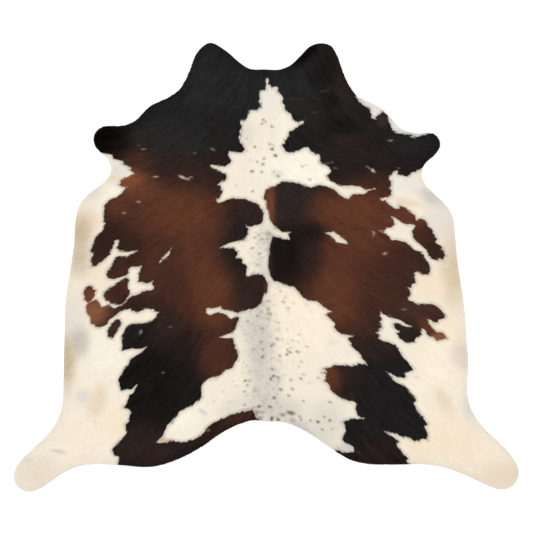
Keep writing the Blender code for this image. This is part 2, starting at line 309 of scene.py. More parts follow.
# The two great dark patches, left and right of the spine. Each is one loop, drawn as stretches that
# follow one another. Where a patch meets the rim, its loop runs on outside the hide.
LEFT_COAT = {
    "neck, left of the blaze": [
        (6, 100), (6, 86), (0, 82.2), (-0.5, 81), (0, 79.8), (0, 77.2), (-2.8, 76.6), (-3, 75.5),
        (-2.7, 73.5), (-3.3, 72), (-2.4, 71.2), (-2.2, 69.4), (-4, 68.3), (-5.5, 68.1), (-7.2, 68.3),
        (-7.8, 66.4), (-8.8, 64.8), (-10, 63.8), (-11.5, 63.6), (-11.2, 62.3), (-10.7, 61.7), (-10.8, 60),
        (-11.5, 59), (-11.2, 57), (-12, 56.6), (-11.5, 54.7), (-9.6, 52), (-9.2, 50.8), (-9.8, 50.1),
        (-11.5, 49.9), (-16, 50.3)],
    "left horn of the blaze": [
        (-16.5, 49), (-15.2, 46), (-16.8, 44.4), (-18, 43.7), (-24.3, 44.3), (-23.5, 43.3), (-20, 41.9),
        (-19, 41), (-17.5, 40.3), (-17.2, 39), (-17.8, 37.8), (-19.5, 37.3), (-21.3, 35.8), (-20, 35.3),
        (-19.4, 34.5), (-20, 33.5), (-19.2, 32.8), (-19.8, 31.7), (-20, 30.2), (-21.8, 29.2),
        (-20.9, 28.7), (-21.5, 28.3)],
    "under the blaze, left": [
        (-20.3, 28.1), (-15.5, 29.8), (-13.5, 30), (-9, 29.5), (-5, 28.2), (-3.5, 27), (-1.7, 24.8),
        (-1.3, 23), (-1.4, 20)],
    "star on the back, left": [
        (-2.3, 18.6), (-7, 17.7), (-8.8, 17.8), (-8, 16.8), (-7.8, 15.5), (-9.6, 11.9), (-15.5, 10.7),
        (-19.8, 8.6), (-14.3, 8.4), (-12.3, 6.6), (-13, 3.9), (-10.8, 3.7), (-10.3, 3.2), (-10.6, 1.9),
        (-9.4, 1.2), (-8.3, 0), (-8.7, -3.9), (-7, -3.8), (-5.5, -3.2), (-1.2, -3.2)],
    "knob beside the spine": [
        (-0.5, -4.8), (0.9, -7.2), (0.5, -10.8), (-0.6, -11.6), (-2, -14.5), (-2.2, -15.8), (-4.5, -17.9),
        (-11.3, -19.4), (-12.3, -20.1), (-13.5, -19.5), (-18, -18.8), (-19.6, -18.2), (-19.8, -17.2),
        (-22, -17.8), (-26.1, -18.1)],
    "loin, left": [
        (-26.2, -19.5), (-25.9, -20.7), (-24.5, -20.8), (-21, -19.7), (-19.5, -19.9), (-18, -20.3),
        (-17, -21), (-16.3, -22), (-15.3, -22.4), (-12.3, -21.5), (-12, -22.8), (-12.4, -24),
        (-13.8, -27), (-15.1, -28.9), (-16.5, -29.1), (-20.6, -30.7), (-14.5, -31), (-14, -32),
        (-14, -33.2), (-13.2, -34.2), (-13.6, -35.5), (-12.7, -36), (-12, -37), (-12.6, -38.2),
        (-12.2, -39.2), (-12.6, -40.4), (-13.4, -41.3), (-14.4, -43.7)],
    "inner rump, left": [
        (-16, -44.4), (-17.8, -44.9), (-19.8, -47), (-21.5, -47.8), (-25.8, -49), (-27, -50),
        (-28, -51.2), (-28.3, -53), (-27.9, -56.5), (-28.5, -57.3), (-31.5, -59.8), (-37.7, -63),
        (-41.3, -67.8), (-42.7, -68.6), (-44.2, -71.4), (-44.6, -73), (-47.6, -76.4)],
    "band over the tail": [
        (-46, -76.6), (-43, -76.3), (-42, -75.7), (-40.5, -75.5), (-37.5, -76.1), (-35.5, -76.1),
        (-31.8, -75.1), (-30, -74.3), (-27, -71.5), (-26.5, -70.3), (-25.5, -69.3), (-23, -67.5),
        (-15.5, -64.3), (-12, -63.4), (-11, -62.8), (-7.5, -62.7), (-5.8, -62), (-4.5, -65.2), (-4, -66),
        (-3, -66.6)],
    "past the rim, tail to shank": [
        (-2, -75), (-30, -90), (-55, -96), (-64.8, -92)],
    "outer rump, left": [
        (-64.8, -86.1), (-64.6, -84.8), (-63.7, -82.8), (-66, -82), (-66.9, -81), (-67.2, -79.9),
        (-66.7, -78.8), (-64.9, -76.5), (-61, -72.7), (-61.3, -70), (-61.8, -68.6), (-60.1, -67),
        (-59.8, -64.2), (-59, -63.1), (-60, -61.9), (-62.6, -61.1), (-61.2, -59.8), (-60, -57.2),
        (-59.8, -55.8), (-58.3, -54.8), (-57.4, -53.5), (-57, -52.2), (-55.9, -51.1)],
    "outer hip, left": [
        (-57, -51.6), (-58.2, -52.9), (-59.5, -53.3), (-61, -53.3), (-62.3, -53.8), (-63.5, -53.4),
        (-64.6, -49.7), (-64.2, -48.2), (-61.5, -43.6), (-60.2, -42.5), (-59.3, -40), (-53.6, -36.4),
        (-51.8, -34.3), (-54, -35.5), (-55.5, -35.8), (-58.7, -35.4), (-62.3, -36.2), (-63.2, -35.8)],
    "outer loin, left": [
        (-62.8, -34.5), (-63, -31), (-62.8, -29.5), (-60.7, -25.9), (-58.2, -24.5), (-57, -24.7),
        (-53, -24.4), (-50, -23.3), (-48.8, -22.5), (-48, -21.5), (-48, -20.4), (-47.2, -19.7),
        (-48.7, -19.3), (-49.3, -18.3), (-50.3, -18.6), (-51, -18), (-52.5, -18), (-56.2, -19.7),
        (-57.4, -19.5), (-57.9, -18.8), (-58.8, -19), (-59.3, -18.4), (-60.5, -18.4), (-62, -18.5),
        (-62.9, -18.9), (-63.8, -19.8)],
    "tan patch": [
        (-65.2, -20.8), (-67.7, -22.5), (-69.5, -25), (-71.5, -26), (-73, -26.4), (-74.4, -26.3),
        (-74.6, -25.4), (-75.9, -25.1), (-76.7, -24.2), (-76.6, -22.5), (-77, -21.3), (-78, -20.7),
        (-78.5, -17.8), (-78.2, -16.6), (-77.3, -15.5), (-75, -14.2), (-73.8, -14.2), (-72.3, -16),
        (-71.8, -17.2), (-70.5, -17.2), (-68.3, -16.1)],
    "round the L-shaped gap": [
        (-66.3, -18.2), (-62.7, -16.2), (-61.2, -15), (-60, -13.4), (-58.5, -12.5), (-55.5, -11.6),
        (-54, -10.6), (-49.8, -9.9), (-49.1, -8.5), (-50.2, -7.3), (-49.3, -6.2), (-52, -7.4),
        (-56, -6.5), (-55.6, -3), (-55, -0.8), (-54.2, 0.5), (-55.5, 0), (-59.3, -0.1), (-59.9, -1.2),
        (-60, -2.5), (-60.6, -3.4)],
    "upper lobe, left": [
        (-62, -4), (-65.5, -5.3), (-67.5, -5.4), (-69.2, -4.8), (-69.7, -3), (-69.2, -1.5), (-66.8, 1.8),
        (-66, 3.5), (-64.7, 4.9), (-60.3, 4.8), (-58.5, 5.9), (-57.2, 6.6), (-56.3, 7.1), (-60, 6.4),
        (-61.5, 6.9), (-64.7, 6.9), (-65, 8.5), (-64.4, 11.7), (-65.8, 11.5), (-66, 9.9), (-66.8, 9),
        (-68, 5.8), (-71, 2.6), (-74.8, 0.3), (-76.2, 0.1)],
    "outer flank, left": [
        (-75.7, 0.5), (-76.5, 3.2), (-75.5, 5.7), (-76.3, 6.2), (-76.4, 7.2), (-74.6, 12.6),
        (-73.8, 13.6), (-71.6, 15.2), (-71, 16.5), (-70.8, 18), (-70, 19.2), (-71, 19.5), (-70.5, 25),
        (-70.8, 26.5), (-69.5, 28.5), (-68.3, 29.5), (-65.3, 30.5), (-64.2, 31.2), (-63.3, 32), (-62, 34),
        (-60.5, 35)],
    "armpit, left": [
        (-61.8, 34.9), (-63.5, 35.1), (-64.5, 35.8), (-63.3, 37.2), (-63, 38.5), (-60, 39.3), (-59, 40.2),
        (-57.7, 40.8), (-59.6, 42.2), (-59, 43.3), (-62.8, 45.2), (-62, 46.2), (-63.5, 46.2),
        (-64.5, 46.8), (-66, 47), (-66.9, 47.7), (-67.2, 48.8), (-68, 49.2), (-71.2, 49.4)],
    "past the rim, fore shank to neck": [
        (-85, 49.4), (-85, 70), (-60, 80), (-40, 105)],
}
RIGHT_COAT = {
    "neck, right of the blaze": [
        (-6, 100), (-6, 86), (0.5, 82.2), (1.1, 81), (0.6, 79.8), (2.8, 78), (4.3, 78.9), (5.2, 77.9),
        (4.8, 76.6), (5.2, 75.8), (6.5, 75.1), (7.2, 73.5), (6.9, 71.8), (8.3, 70.2), (7.8, 69.2),
        (8.3, 68.1), (11, 66), (11.1, 64.9), (11.9, 63.9), (13, 63.1), (14.5, 63.2), (16.5, 64),
        (16.3, 62.8), (13.8, 61.5), (13, 60.5), (12, 59.9), (10.2, 59.2), (9.5, 58.3), (9.8, 57.3),
        (9, 56), (7.9, 55.2), (8.2, 54.2), (7, 53.4), (7, 52.2), (8, 51.5), (8.3, 50.5), (9.5, 50),
        (12, 50), (16.5, 51.8), (18.5, 52.1)],
    "right wing of the blaze": [
        (18.9, 51.3), (19, 50.2), (21, 49.3), (23.2, 49), (23.5, 47.5), (22.9, 46.3), (23.8, 45),
        (26.5, 43.9), (28.5, 42.3), (28, 41), (26.2, 39.8), (27, 38.5), (28.5, 37.3), (30.5, 36.2),
        (33, 35.4), (38, 35), (41.3, 35.2), (41.7, 34.4), (42.7, 33.7), (44, 33.6), (47.5, 34.3)],
    "under the right wing": [
        (45.5, 33.7), (44.5, 33.5), (43.5, 32.8), (43.3, 31.9), (38, 31.8), (36.2, 30.5), (36.3, 29.4),
        (33, 30.8), (29.8, 33.9), (26, 35.3), (24, 35.8), (19.5, 34.8), (15.5, 36), (14, 36.9),
        (8.5, 37.4), (6.5, 37.2), (4, 35.3), (2, 34.9), (0, 33.5), (-1.4, 30), (-0.2, 28.8), (0.2, 25.3),
        (1, 24), (1.4, 20.8)],
    "star on the back, right": [
        (2.2, 19.5), (3.8, 17.6), (7, 15.2), (10.5, 15.2), (9.4, 14.4), (9.4, 13.5), (10.2, 12.8),
        (10, 12), (8.5, 12.1), (2.9, 13.5), (1.8, 10.8), (1, 5), (0.8, 0), (1.6, -3.6), (3.3, -6),
        (6, -6.6), (7.5, -7.6), (12, -8.7), (15, -12.2), (18, -14.4), (22, -15), (25, -17.4),
        (28.3, -19.4)],
    "loin, right": [
        (27, -20), (25.9, -20.7), (29.5, -24.2), (29.9, -25.2), (29.3, -26), (30.6, -27.8), (32.5, -29.3),
        (38.2, -30.1), (35.3, -30.7), (36.3, -32), (37.8, -35), (40, -36.9), (42, -40), (44.6, -42.8)],
    "inner rump, right": [
        (42.5, -42.1), (40, -41.9), (39.7, -42.5), (37, -43.2), (34, -42.6), (32.5, -42.8), (30, -42.5),
        (28.7, -43.3), (24.5, -44.3), (25.5, -44.8), (26, -45.5), (24, -45.9), (26.3, -46.9),
        (25.6, -47.9), (26, -48.8), (24.8, -49.5), (26.8, -51), (27.8, -53.3), (30.2, -55.6),
        (31.6, -56.6), (34.5, -57.9), (39.7, -59.4)],
    "thigh, right": [
        (38.8, -60.3), (39.1, -62.8), (39.9, -64.9), (42.6, -65.9), (41, -66.2), (37, -66.1), (35, -66.9),
        (33.5, -67.1), (32.9, -67.6), (34.2, -68.8), (34.5, -71.2), (34.3, -72.2), (33.5, -73),
        (33.2, -74), (33.3, -75.3), (34, -76.3), (37.9, -78.4), (38.4, -79), (38, -80.3), (34.5, -80.8),
        (33, -80.5), (31, -79.4), (30, -79.7)],
    "past the rim, thigh to shank": [
        (30, -90), (60, -95), (63, -92)],
    "outer thigh, right": [
        (63, -85.8), (60.9, -84.6), (61.6, -84.2), (61.8, -83.3), (57.1, -78.2), (56.9, -77),
        (57.8, -76.2), (57.6, -75.7), (55.3, -74), (53.8, -73.3), (51.8, -71.6), (56.5, -72.6),
        (59.8, -74.4), (60.2, -73.9), (61, -73.8), (64.6, -75.8), (65.5, -75.5), (66.7, -75.8),
        (66.9, -75), (67.7, -74.5), (70.3, -75.2), (70.2, -72.3), (69.6, -71.5), (69.4, -69),
        (70.3, -68.4), (68.7, -66.6), (68.4, -65.3)],
    "outer rump, right": [
        (67.5, -64.6), (64.4, -60), (64.5, -58.7), (65.3, -57.7), (64.8, -56.9), (60.5, -52.2),
        (59.2, -51.3), (57.9, -51), (54.3, -47.9), (52.5, -45.8), (57.7, -48.2), (58.5, -48.3),
        (60, -48.1), (61, -47.6), (60.3, -45.9), (64.4, -44.8)],
    "outer hip, right": [
        (64, -44.2), (60.6, -40.6), (58.1, -36.5), (56.3, -34.2), (53.5, -32.8), (51.5, -32.3),
        (48.9, -30.9), (49.5, -30.2), (49.3, -29.3), (48.3, -28.5), (49.7, -27.8), (49, -26.9),
        (50.6, -26.4), (50, -24.5), (48.8, -24), (50, -23.4), (50.3, -22.7), (49.7, -21.5), (50.1, -20.5),
        (49.6, -19.6)],
    "hook, right": [
        (51, -20.4), (55.5, -22.5), (58.2, -23.1), (60.2, -24.7), (63.5, -26), (59.3, -25.3),
        (57.3, -24.2), (55, -24.5), (56, -26.7), (57, -27.5), (58.6, -28), (56.6, -28.6), (57.9, -31),
        (60.3, -32.5), (61.5, -32.9), (64.7, -32.6), (65, -31.2), (66, -30.3), (67.8, -29.4),
        (67.3, -28.2), (67.9, -27), (68.5, -26.9)],
    "two fingers, right": [
        (69.3, -28), (70, -29.3), (71, -30.3), (72.8, -30.4), (73.5, -31.3), (74.6, -32), (78.9, -31.1),
        (77, -28.6), (76.5, -28.3), (75, -28.4), (73.7, -27.8), (72.5, -26.7), (70.2, -23), (71.5, -23),
        (72.5, -23.9), (73.5, -24.3), (74.8, -24.2), (74.8, -23), (77.7, -22.3), (78.4, -21.6),
        (75, -17.3), (72.3, -15.9)],
    "outer flank, right": [
        (71, -15.9), (69.5, -16.2), (66, -16.1), (63.5, -14.8), (61.9, -14.7), (61.6, -13.6), (62.6, -13),
        (63, -11.8), (62, -9.1), (63.3, -8.8), (63.6, -7.5), (65.2, -7), (64.5, -2.3), (65.3, -1.9),
        (68, -3.1), (71.2, -3.1), (71.5, -1), (71.3, 0.9)],
    "gap under the arm, right": [
        (70, 2.5), (68.5, 5.5), (67.5, 6.6), (64.5, 7.5), (60.8, 11), (57, 11.9), (55, 11.7), (52, 14.6),
        (49, 16.2), (51.5, 16), (52.5, 17), (54.5, 17.2), (56, 18.8), (55.5, 21), (54.5, 22),
        (55.9, 21.6), (60.5, 18.7), (65, 18.3), (63.6, 15.5), (63.6, 13.8), (64.2, 12.3), (65.5, 10.9),
        (69.9, 7.4), (70.2, 6), (71.2, 4), (72, 3.6), (75, 3.1)],
    "arm, right": [
        (75.4, 4), (77, 3.4), (77.7, 5), (77.2, 6.9), (76.3, 8.7), (73.7, 10.9), (74.2, 12.2),
        (72.2, 16.5), (70.4, 17.9), (70, 19.4), (68.9, 20.7), (67.6, 21.3), (66.3, 21.1), (65.5, 20.2)],
    "armpit, right": [
        (65.1, 21), (64.7, 22.5), (63.5, 23.7), (62, 24.5), (60.8, 25.8), (57.6, 27), (58, 25.8),
        (57, 25.4), (55.7, 25.6), (52, 29), (50.5, 29.2), (49.5, 29.8), (53, 30.4), (54.5, 31.2),
        (54.7, 32.2), (54.5, 33.8), (53.4, 34.1), (54.3, 35), (54.7, 37.7), (53.7, 37.9), (53.5, 39.6),
        (54.7, 39.9), (55.2, 41.3), (57, 41.8), (57.2, 40), (59.5, 40.2), (60.5, 39.5), (61.5, 39.3),
        (63.5, 41), (67.9, 43)],
    "past the rim, fore shank": [
        (90, 46), (90, 66), (73.5, 66)],
    "shoulder, right": [
        (73, 58.3), (68, 57.6), (64.5, 56.6), (62.8, 56.7), (64, 57.9), (62, 58.1), (60, 57.9),
        (58, 58.3), (55.2, 59.6), (54.3, 61.2), (53.5, 64), (52.9, 64.8), (53, 65.8), (50.7, 67.7),
        (48, 65.6), (48.2, 65), (47.2, 64.4), (45.5, 65.8), (45.7, 66.7), (45, 69.2), (42, 70.6),
        (42, 71.3), (41, 71.8), (39, 74.2), (39.2, 75.2)],
    "past the rim, shoulder to neck": [
        (42, 80), (42, 105)],
}

# Dark patches that stand alone, each a loop.
SMALL_PATCHES = {
    "lower lobe, left": [
        (-62.8, -5.2), (-70.8, -11), (-71, -12.5), (-70.2, -14.6), (-68.5, -14.8), (-68.2, -15.5),
        (-67.1, -16.4), (-65.4, -16.6), (-63, -16.3), (-61.2, -14.9), (-59.3, -11.3), (-59.6, -10),
        (-60.3, -9.2), (-60.4, -8), (-59.9, -6.5), (-60, -5), (-60.9, -4.6)],
    "small brown patch": [
        (-77, -7.8), (-78.3, -8.6), (-79.2, -9.9), (-79.8, -11.5), (-79, -12.8), (-79.4, -14.5),
        (-77.8, -15.4), (-76.4, -15.2), (-75.1, -13), (-74.7, -11.4), (-73.9, -10), (-75.3, -9.6),
        (-76, -8.3)],
    "dark oval": [
        (-65, -22.7), (-63.8, -22.9), (-63.1, -23.7), (-63, -24.9), (-66.9, -31.2), (-67.5, -30.4),
        (-68.8, -30.5), (-69.2, -28), (-69, -26.8), (-66, -23)],
}

# Openings in the dark patches, where the cream coat shows.
OPENINGS = {
    "eye-shaped gap": [
        (26, 15), (27.5, 15), (29.5, 15.5), (33.5, 12.3), (35.5, 10), (31.5, 10.4), (30.3, 10.8),
        (29.8, 12.2), (27, 14.4)],
    "spur": [
        (-46.5, 2), (-45.2, 3.3), (-45.3, 4.2), (-44.5, 4.9), (-43.4, 5.8), (-42.3, 7.1), (-41.2, 8.3),
        (-42, 6.7), (-42.7, 5.3), (-43.5, 4.3), (-46.3, 2.7)],
}

# Ticks of dark hair in the cream coat. They lie across the hide and lean down a little to its outer
# side. Each row is x, y, length and width in centimetres, and how dark it is, from 0 to 1.
TICK_LEAN = 13                    # degrees
TICKS = {
    "blaze": [
        (-1.3, 64.1, 1.4, 0.8, 0.7), (-0.3, 63.2, 1.2, 0.7, 0.6), (-1.8, 62.4, 1.3, 0.8, 0.7),
        (2.5, 61.2, 1.3, 0.8, 0.9), (1.6, 53.5, 1.4, 0.9, 0.6), (3.3, 53, 1.2, 0.8, 0.5),
        (2.5, 51.4, 1.6, 1.1, 1), (4, 48.5, 1.7, 1.2, 0.95), (-1, 47.2, 1.4, 0.9, 0.6),
        (-4, 45.8, 1.3, 0.8, 0.6), (-1.5, 44.8, 1.5, 1.1, 0.7), (-2, 41.3, 1.4, 0.9, 0.6),
        (5.2, 39.6, 1.5, 1, 0.7), (5.8, 41, 1.2, 0.8, 0.1), (15.6, 43.9, 1.5, 0.9, 0.4),
        (19, 38.2, 1.5, 0.9, 0.6), (-5, 52.3, 1.3, 0.9, 0.8), (-6.2, 41.7, 1.7, 1.2, 0.8),
        (-5.9, 33, 1.4, 0.9, 0.6)],
    "star": [
        (-3.3, 14, 1.4, 0.9, 0.6), (1, 14.4, 3, 2, 0.45), (-2, 12.2, 1.6, 1, 0.6),
        (0.5, 12.3, 1.6, 1, 0.6), (-5, 12.8, 1.4, 0.9, 0.6), (-6, 8.3, 1.6, 1, 0.6),
        (-3, 5.8, 1.5, 0.9, 0.6), (-3.7, 1, 1.5, 1.2, 0.5)],
    "back": [
        (6.2, -10.5, 1.3, 0.9, 0.5), (1, -14.8, 2, 0.8, 0.6), (7.5, -15.3, 2.2, 0.8, 0.5),
        (9.6, -17.9, 1.6, 1, 0.5), (0.8, -18.3, 1.5, 1.3, 0.6), (-2.2, -19.5, 2, 1.5, 0.35),
        (1.5, -20.3, 2.5, 1.2, 0.6), (0.9, -22.6, 1.8, 0.8, 0.55), (5.2, -24.1, 1.4, 0.7, 0.6),
        (-1.8, -26.7, 1.5, 0.9, 0.65), (14.2, -29.4, 1.6, 1, 0.35)],
    "loin": [
        (4.8, -31.4, 2, 1, 0.6), (11.5, -32, 1.8, 0.9, 0.35), (-2.4, -32.6, 1.5, 1, 0.6),
        (3, -33.7, 2, 1.3, 0.5), (2.2, -34.4, 1.5, 0.9, 0.75), (17.7, -34.6, 2, 0.8, 0.4),
        (-1.5, -35.9, 1.2, 0.9, 0.6), (9.3, -36.1, 1.4, 0.9, 0.6), (10.3, -37.1, 1.8, 1, 0.75),
        (9, -38, 1.4, 0.9, 0.9), (13.7, -36.9, 2.2, 1.1, 0.6), (5.9, -38.6, 1.5, 1, 0.6),
        (-1.6, -39.1, 1.6, 1.4, 0.75), (15.2, -41.2, 1.6, 0.9, 0.35)],
    "loin, left": [
        (-8, -23.7, 1.4, 0.9, 0.6), (-4, -21.2, 1.4, 0.9, 0.6), (-5.5, -35.8, 1.2, 1, 0.65),
        (-9.2, -49.5, 1.5, 0.8, 1), (-7.3, -49.5, 1.8, 0.7, 0.6), (-8.3, -51.5, 1.2, 1, 0.6),
        (-9.6, -54.2, 1.6, 0.8, 0.6), (-9.5, -60, 1.4, 0.9, 0.6)],
    "rump": [
        (2.6, -44.4, 1.6, 1.2, 0.65), (3.2, -47.4, 1.4, 1, 1), (2, -48.6, 1.2, 1.8, 0.8),
        (5.1, -48, 1.8, 1.1, 0.65), (16.2, -46.8, 1.8, 1, 0.35), (15.1, -48.6, 1.5, 1, 0.6),
        (10.8, -49.2, 1.5, 1, 0.6), (22.8, -48.3, 2, 0.7, 0.6), (6.3, -53.3, 2, 1.5, 0.6),
        (11.4, -53.1, 1.8, 1.1, 0.6), (9.7, -55.9, 1.5, 1, 0.6), (3.5, -56.9, 1.8, 1.5, 0.7),
        (16.2, -58.3, 1.2, 0.9, 0.6), (27.8, -58.9, 2, 0.8, 0.6), (-5, -53.6, 2.4, 2, 0.3)],
    "over the tail": [
        (-3.2, -60.7, 1.9, 1, 1), (1.6, -60.9, 2, 1.1, 0.85), (-1.7, -63.2, 2.4, 1, 0.6),
        (7.1, -64.3, 2.4, 1.3, 0.7), (10.7, -63.5, 3.8, 1.7, 0.85), (14.6, -65, 1.2, 1, 0.6),
        (15.2, -66.4, 1, 1.3, 0.6), (2.4, -66, 1.4, 2, 1), (5.2, -66.4, 1.8, 1.2, 0.9),
        (0, -67.3, 1.4, 0.5, 0.8), (19.2, -66.8, 1.3, 0.9, 0.6), (22.5, -67.4, 1.8, 1, 1),
        (25.2, -65.2, 1.4, 1, 0.6), (27.7, -66.8, 1.4, 1.2, 0.75), (24.4, -70.7, 1.6, 0.9, 0.6),
        (28.8, -70.4, 1.2, 0.8, 0.45), (11.5, -66.7, 2.6, 1.6, 0.35), (-4, -63.3, 2.6, 1.9, 0.6),
        (-2.7, -65.8, 2.6, 1.7, 0.6), (-5.6, -60.9, 1.6, 0.8, 0.35), (-8.5, -61.8, 3, 0.9, 0.3)],
    "thighs": [
        (-67.6, -49.4, 1.2, 0.8, 0.2), (-74.9, -67.1, 1.1, 0.7, 0.2), (-74.3, -68.6, 1.1, 0.7, 0.2),
        (-72.1, -68.5, 1, 0.6, 0.15), (79.8, -46.2, 1.4, 0.7, 0.12), (86, -43.1, 1.4, 0.8, 0.25),
        (92.1, -92.1, 1.2, 0.7, 0.15), (89.9, -85.5, 1.2, 0.7, 0.1), (87.3, -62.8, 1.4, 0.9, 0.1),
        (65.6, -47.8, 2.2, 1.1, 0.22)],
}
FAINT_TICK = (1.2, 0.8, 0.3)      # length, width and darkness of the ticks that hardly show
FAINT_TICKS = [
    (-8.5, 56), (3.2, 41.5), (17.5, 44.4), (-7, 46.6), (-13, 35.7), (-3.5, 3.2), (-1, -1.3), (-6, -2.3),
    (-3.5, -2.8), (8.5, -13), (11.8, -15.5), (17.8, -16.3), (-3.4, -21), (5.3, -26.7), (9.2, -27.2),
    (7, -31.4), (9.5, -33.3), (14, -32.6), (10.8, -35.2), (6.2, -40.8), (14.1, -43.3), (-9, -29.2),
    (-8.5, -32), (-5, -26), (-8.6, -43), (-10, -41.5), (-7.2, -45.5), (-5, -52.8), (-3.5, -54),
    (-8.8, -56), (-18.8, -54.2), (-13.5, -52), (-22.7, -58.5), (-21.8, -48.9), (7.5, -47.2),
    (18.8, -50.2), (1, -51), (-3.2, -53.9), (4.8, -55.3), (17.4, -68)]

# Roan: tufts of a few dark hairs each, strewn among the white ones along the spine.
ROAN_TUFTS = 620
ROAN_MIDDLE, ROAN_SPREAD = -1.0, 5.5     # across the hide
ROAN_FROM, ROAN_TO = -67, 17             # and along it
ROAN_LENGTH = (0.8, 1.6)
ROAN_WIDTH = (0.4, 0.8)
ROAN_STRAY = 25                   # degrees from the hide's width
ROAN_DARK = (0.05, 0.30)
strewn = np.random.default_rng(21)
roan_tufts = np.column_stack([
    strewn.normal(ROAN_MIDDLE, ROAN_SPREAD, ROAN_TUFTS), strewn.uniform(ROAN_FROM, ROAN_TO, ROAN_TUFTS),
    strewn.uniform(*ROAN_LENGTH, ROAN_TUFTS), strewn.uniform(*ROAN_WIDTH, ROAN_TUFTS),
    strewn.normal(0, ROAN_STRAY, ROAN_TUFTS), strewn.uniform(*ROAN_DARK, ROAN_TUFTS)])

# Nicks and scars in the dark hair, where it grew back pale. The faint rows on the neck, above y 65, are
# the creases of the neck instead: pale where the hair parts over its folds, with the light on the folds
# painted in, as they have no relief. Each row is x, y, length, width and lean from the hide's width in
# degrees, and how pale it is.
NICKS_AND_CREASE_LIGHT = [
    (-36.7, 39.2, 2.8, 0.9, -22, 0.9), (-34.7, 38.4, 2.6, 0.6, -6, 0.8), (-33.2, 39.1, 1.6, 0.4, 12, 0.5),
    (-32.3, 38.9, 0.6, 0.5, 0, 0.35), (-48.2, 39.4, 2, 0.6, 4, 0.55), (-53.6, 51.3, 2.2, 0.5, 4, 0.3),
    (-55.5, 53, 1.6, 0.5, 0, 0.1), (-31, 49.7, 1.6, 0.4, 0, 0.25), (-23.5, 51.3, 2, 0.6, -25, 0.3),
    (-55.7, 28.4, 1.7, 0.9, -10, 0.4), (-61.9, 23.6, 1.6, 0.8, 0, 0.4), (-54.7, -28.3, 1.8, 0.9, 70, 0.4),
    (-41.8, -26, 1.2, 0.6, 0, 0.2), (-45, -46, 1.2, 0.6, 0, 0.2), (-25.3, -71.1, 1.6, 0.5, 0, 0.35),
    (44.6, 43.3, 2.8, 0.4, -32, 0.45), (46.5, 42, 2.2, 0.9, -40, 0.9), (53.9, 55.1, 2.2, 0.5, 8, 0.4),
    (57.8, 43.2, 1.2, 0.4, 15, 0.3), (28.7, 45.6, 1.2, 0.5, 0, 0.15), (30, 43.1, 1.4, 0.4, 0, 0.2),
    (26.6, 45.2, 2.2, 0.4, 5, 0.3), (25, 76.6, 4, 0.4, 12, 0.08), (21.5, 67.5, 2.6, 0.4, 12, 0.07),
    (46.9, 15, 1.5, 0.8, -60, 0.5), (46.7, 14, 1.2, 0.6, 50, 0.45), (51.7, 5.9, 1.8, 1.1, 10, 0.45),
    (60, -18.5, 2, 0.6, 0, 0.22), (-67.2, -16.5, 2.6, 0.6, 25, 0.7), (40.3, -80.8, 1.2, 0.5, 0, 0.1),
    (-31, 76, 7, 0.4, -20, 0.015), (-22, 72.5, 7, 0.4, -15, 0.02), (-13, 70, 6, 0.4, 5, 0.015),
    (12.5, 73.2, 8, 0.5, 2, 0.03), (14, 80.5, 8, 0.4, 8, 0.015), (12, 69, 5, 0.3, 0, 0.03)]

dark_loops = [sum(coat.values(), []) for coat in (LEFT_COAT, RIGHT_COAT)] + list(SMALL_PATCHES.values())
ticks = sum(TICKS.values(), []) + [(*place, *FAINT_TICK) for place in FAINT_TICKS]
dark_marks = roan_tufts.tolist()
for x, y, length, width, darkness in ticks:
    dark_marks.append((x, y, length, width, math.copysign(TICK_LEAN, -x), darkness))


def hair_way(places):
    """Give the way in which the hair lies at places in centimetres, as steps one centimetre long."""
    x, y, turn = np.array([row[1:] for row in HAIR_WAYS], float).T
    turn = np.radians(turn)
    total = np.zeros((len(places), 2))
    for side in (1, -1):
        away2 = (places[:, :1] - side * x) ** 2 + (places[:, 1:] - y) ** 2
        weight = 1 / (away2 + WAY_REACH ** 2) ** 2
        total[:, 0] += (weight * side * np.sin(turn)).sum(1)
        total[:, 1] -= (weight * np.cos(turn)).sum(1)
    return total / np.linalg.norm(total, axis=1)[:, None]


def patch_depth(places):
    """Give how deep, in centimetres, each place lies in the dark patches, negative in the cream."""
    depth = np.full(len(places), -EDGE_REACH)
    for loop in dark_loops:
        depth = np.maximum(depth, depth_inside(places, np.array(loop, float), EDGE_REACH))
    for loop in OPENINGS.values():
        depth = np.minimum(depth, -depth_inside(places, np.array(loop, float), EDGE_REACH))
    return depth


def turned(offset, lean):
    """Give offsets from the middle of a leaning mark, lengthwise and crosswise to it."""
    turn = math.radians(lean)
    lengthwise = offset @ (math.cos(turn), math.sin(turn))
    crosswise = offset @ (-math.sin(turn), math.cos(turn))
    return lengthwise, crosswise


MARK_FADED = 1.5                  # half sizes from its middle where a mark ends; it is full up to 1 less


def speckled(places, rows):
    """Give how strongly small marks cover each place."""
    cover = np.zeros(len(places))
    order = np.argsort(places[:, 0])
    in_order = places[order, 0]
    for x, y, length, width, lean, strength in rows:
        reach = MARK_FADED * max(length, width)
        first, last = np.searchsorted(in_order, (x - reach, x + reach))
        near = order[first:last]
        near = near[np.abs(places[near, 1] - y) < reach]
        lengthwise, crosswise = turned(places[near] - (x, y), lean)
        away = np.hypot(lengthwise / (length / 2), crosswise / (width / 2))
        cover[near] = np.maximum(cover[near], strength * np.clip(MARK_FADED - away, 0, 1))
    return cover
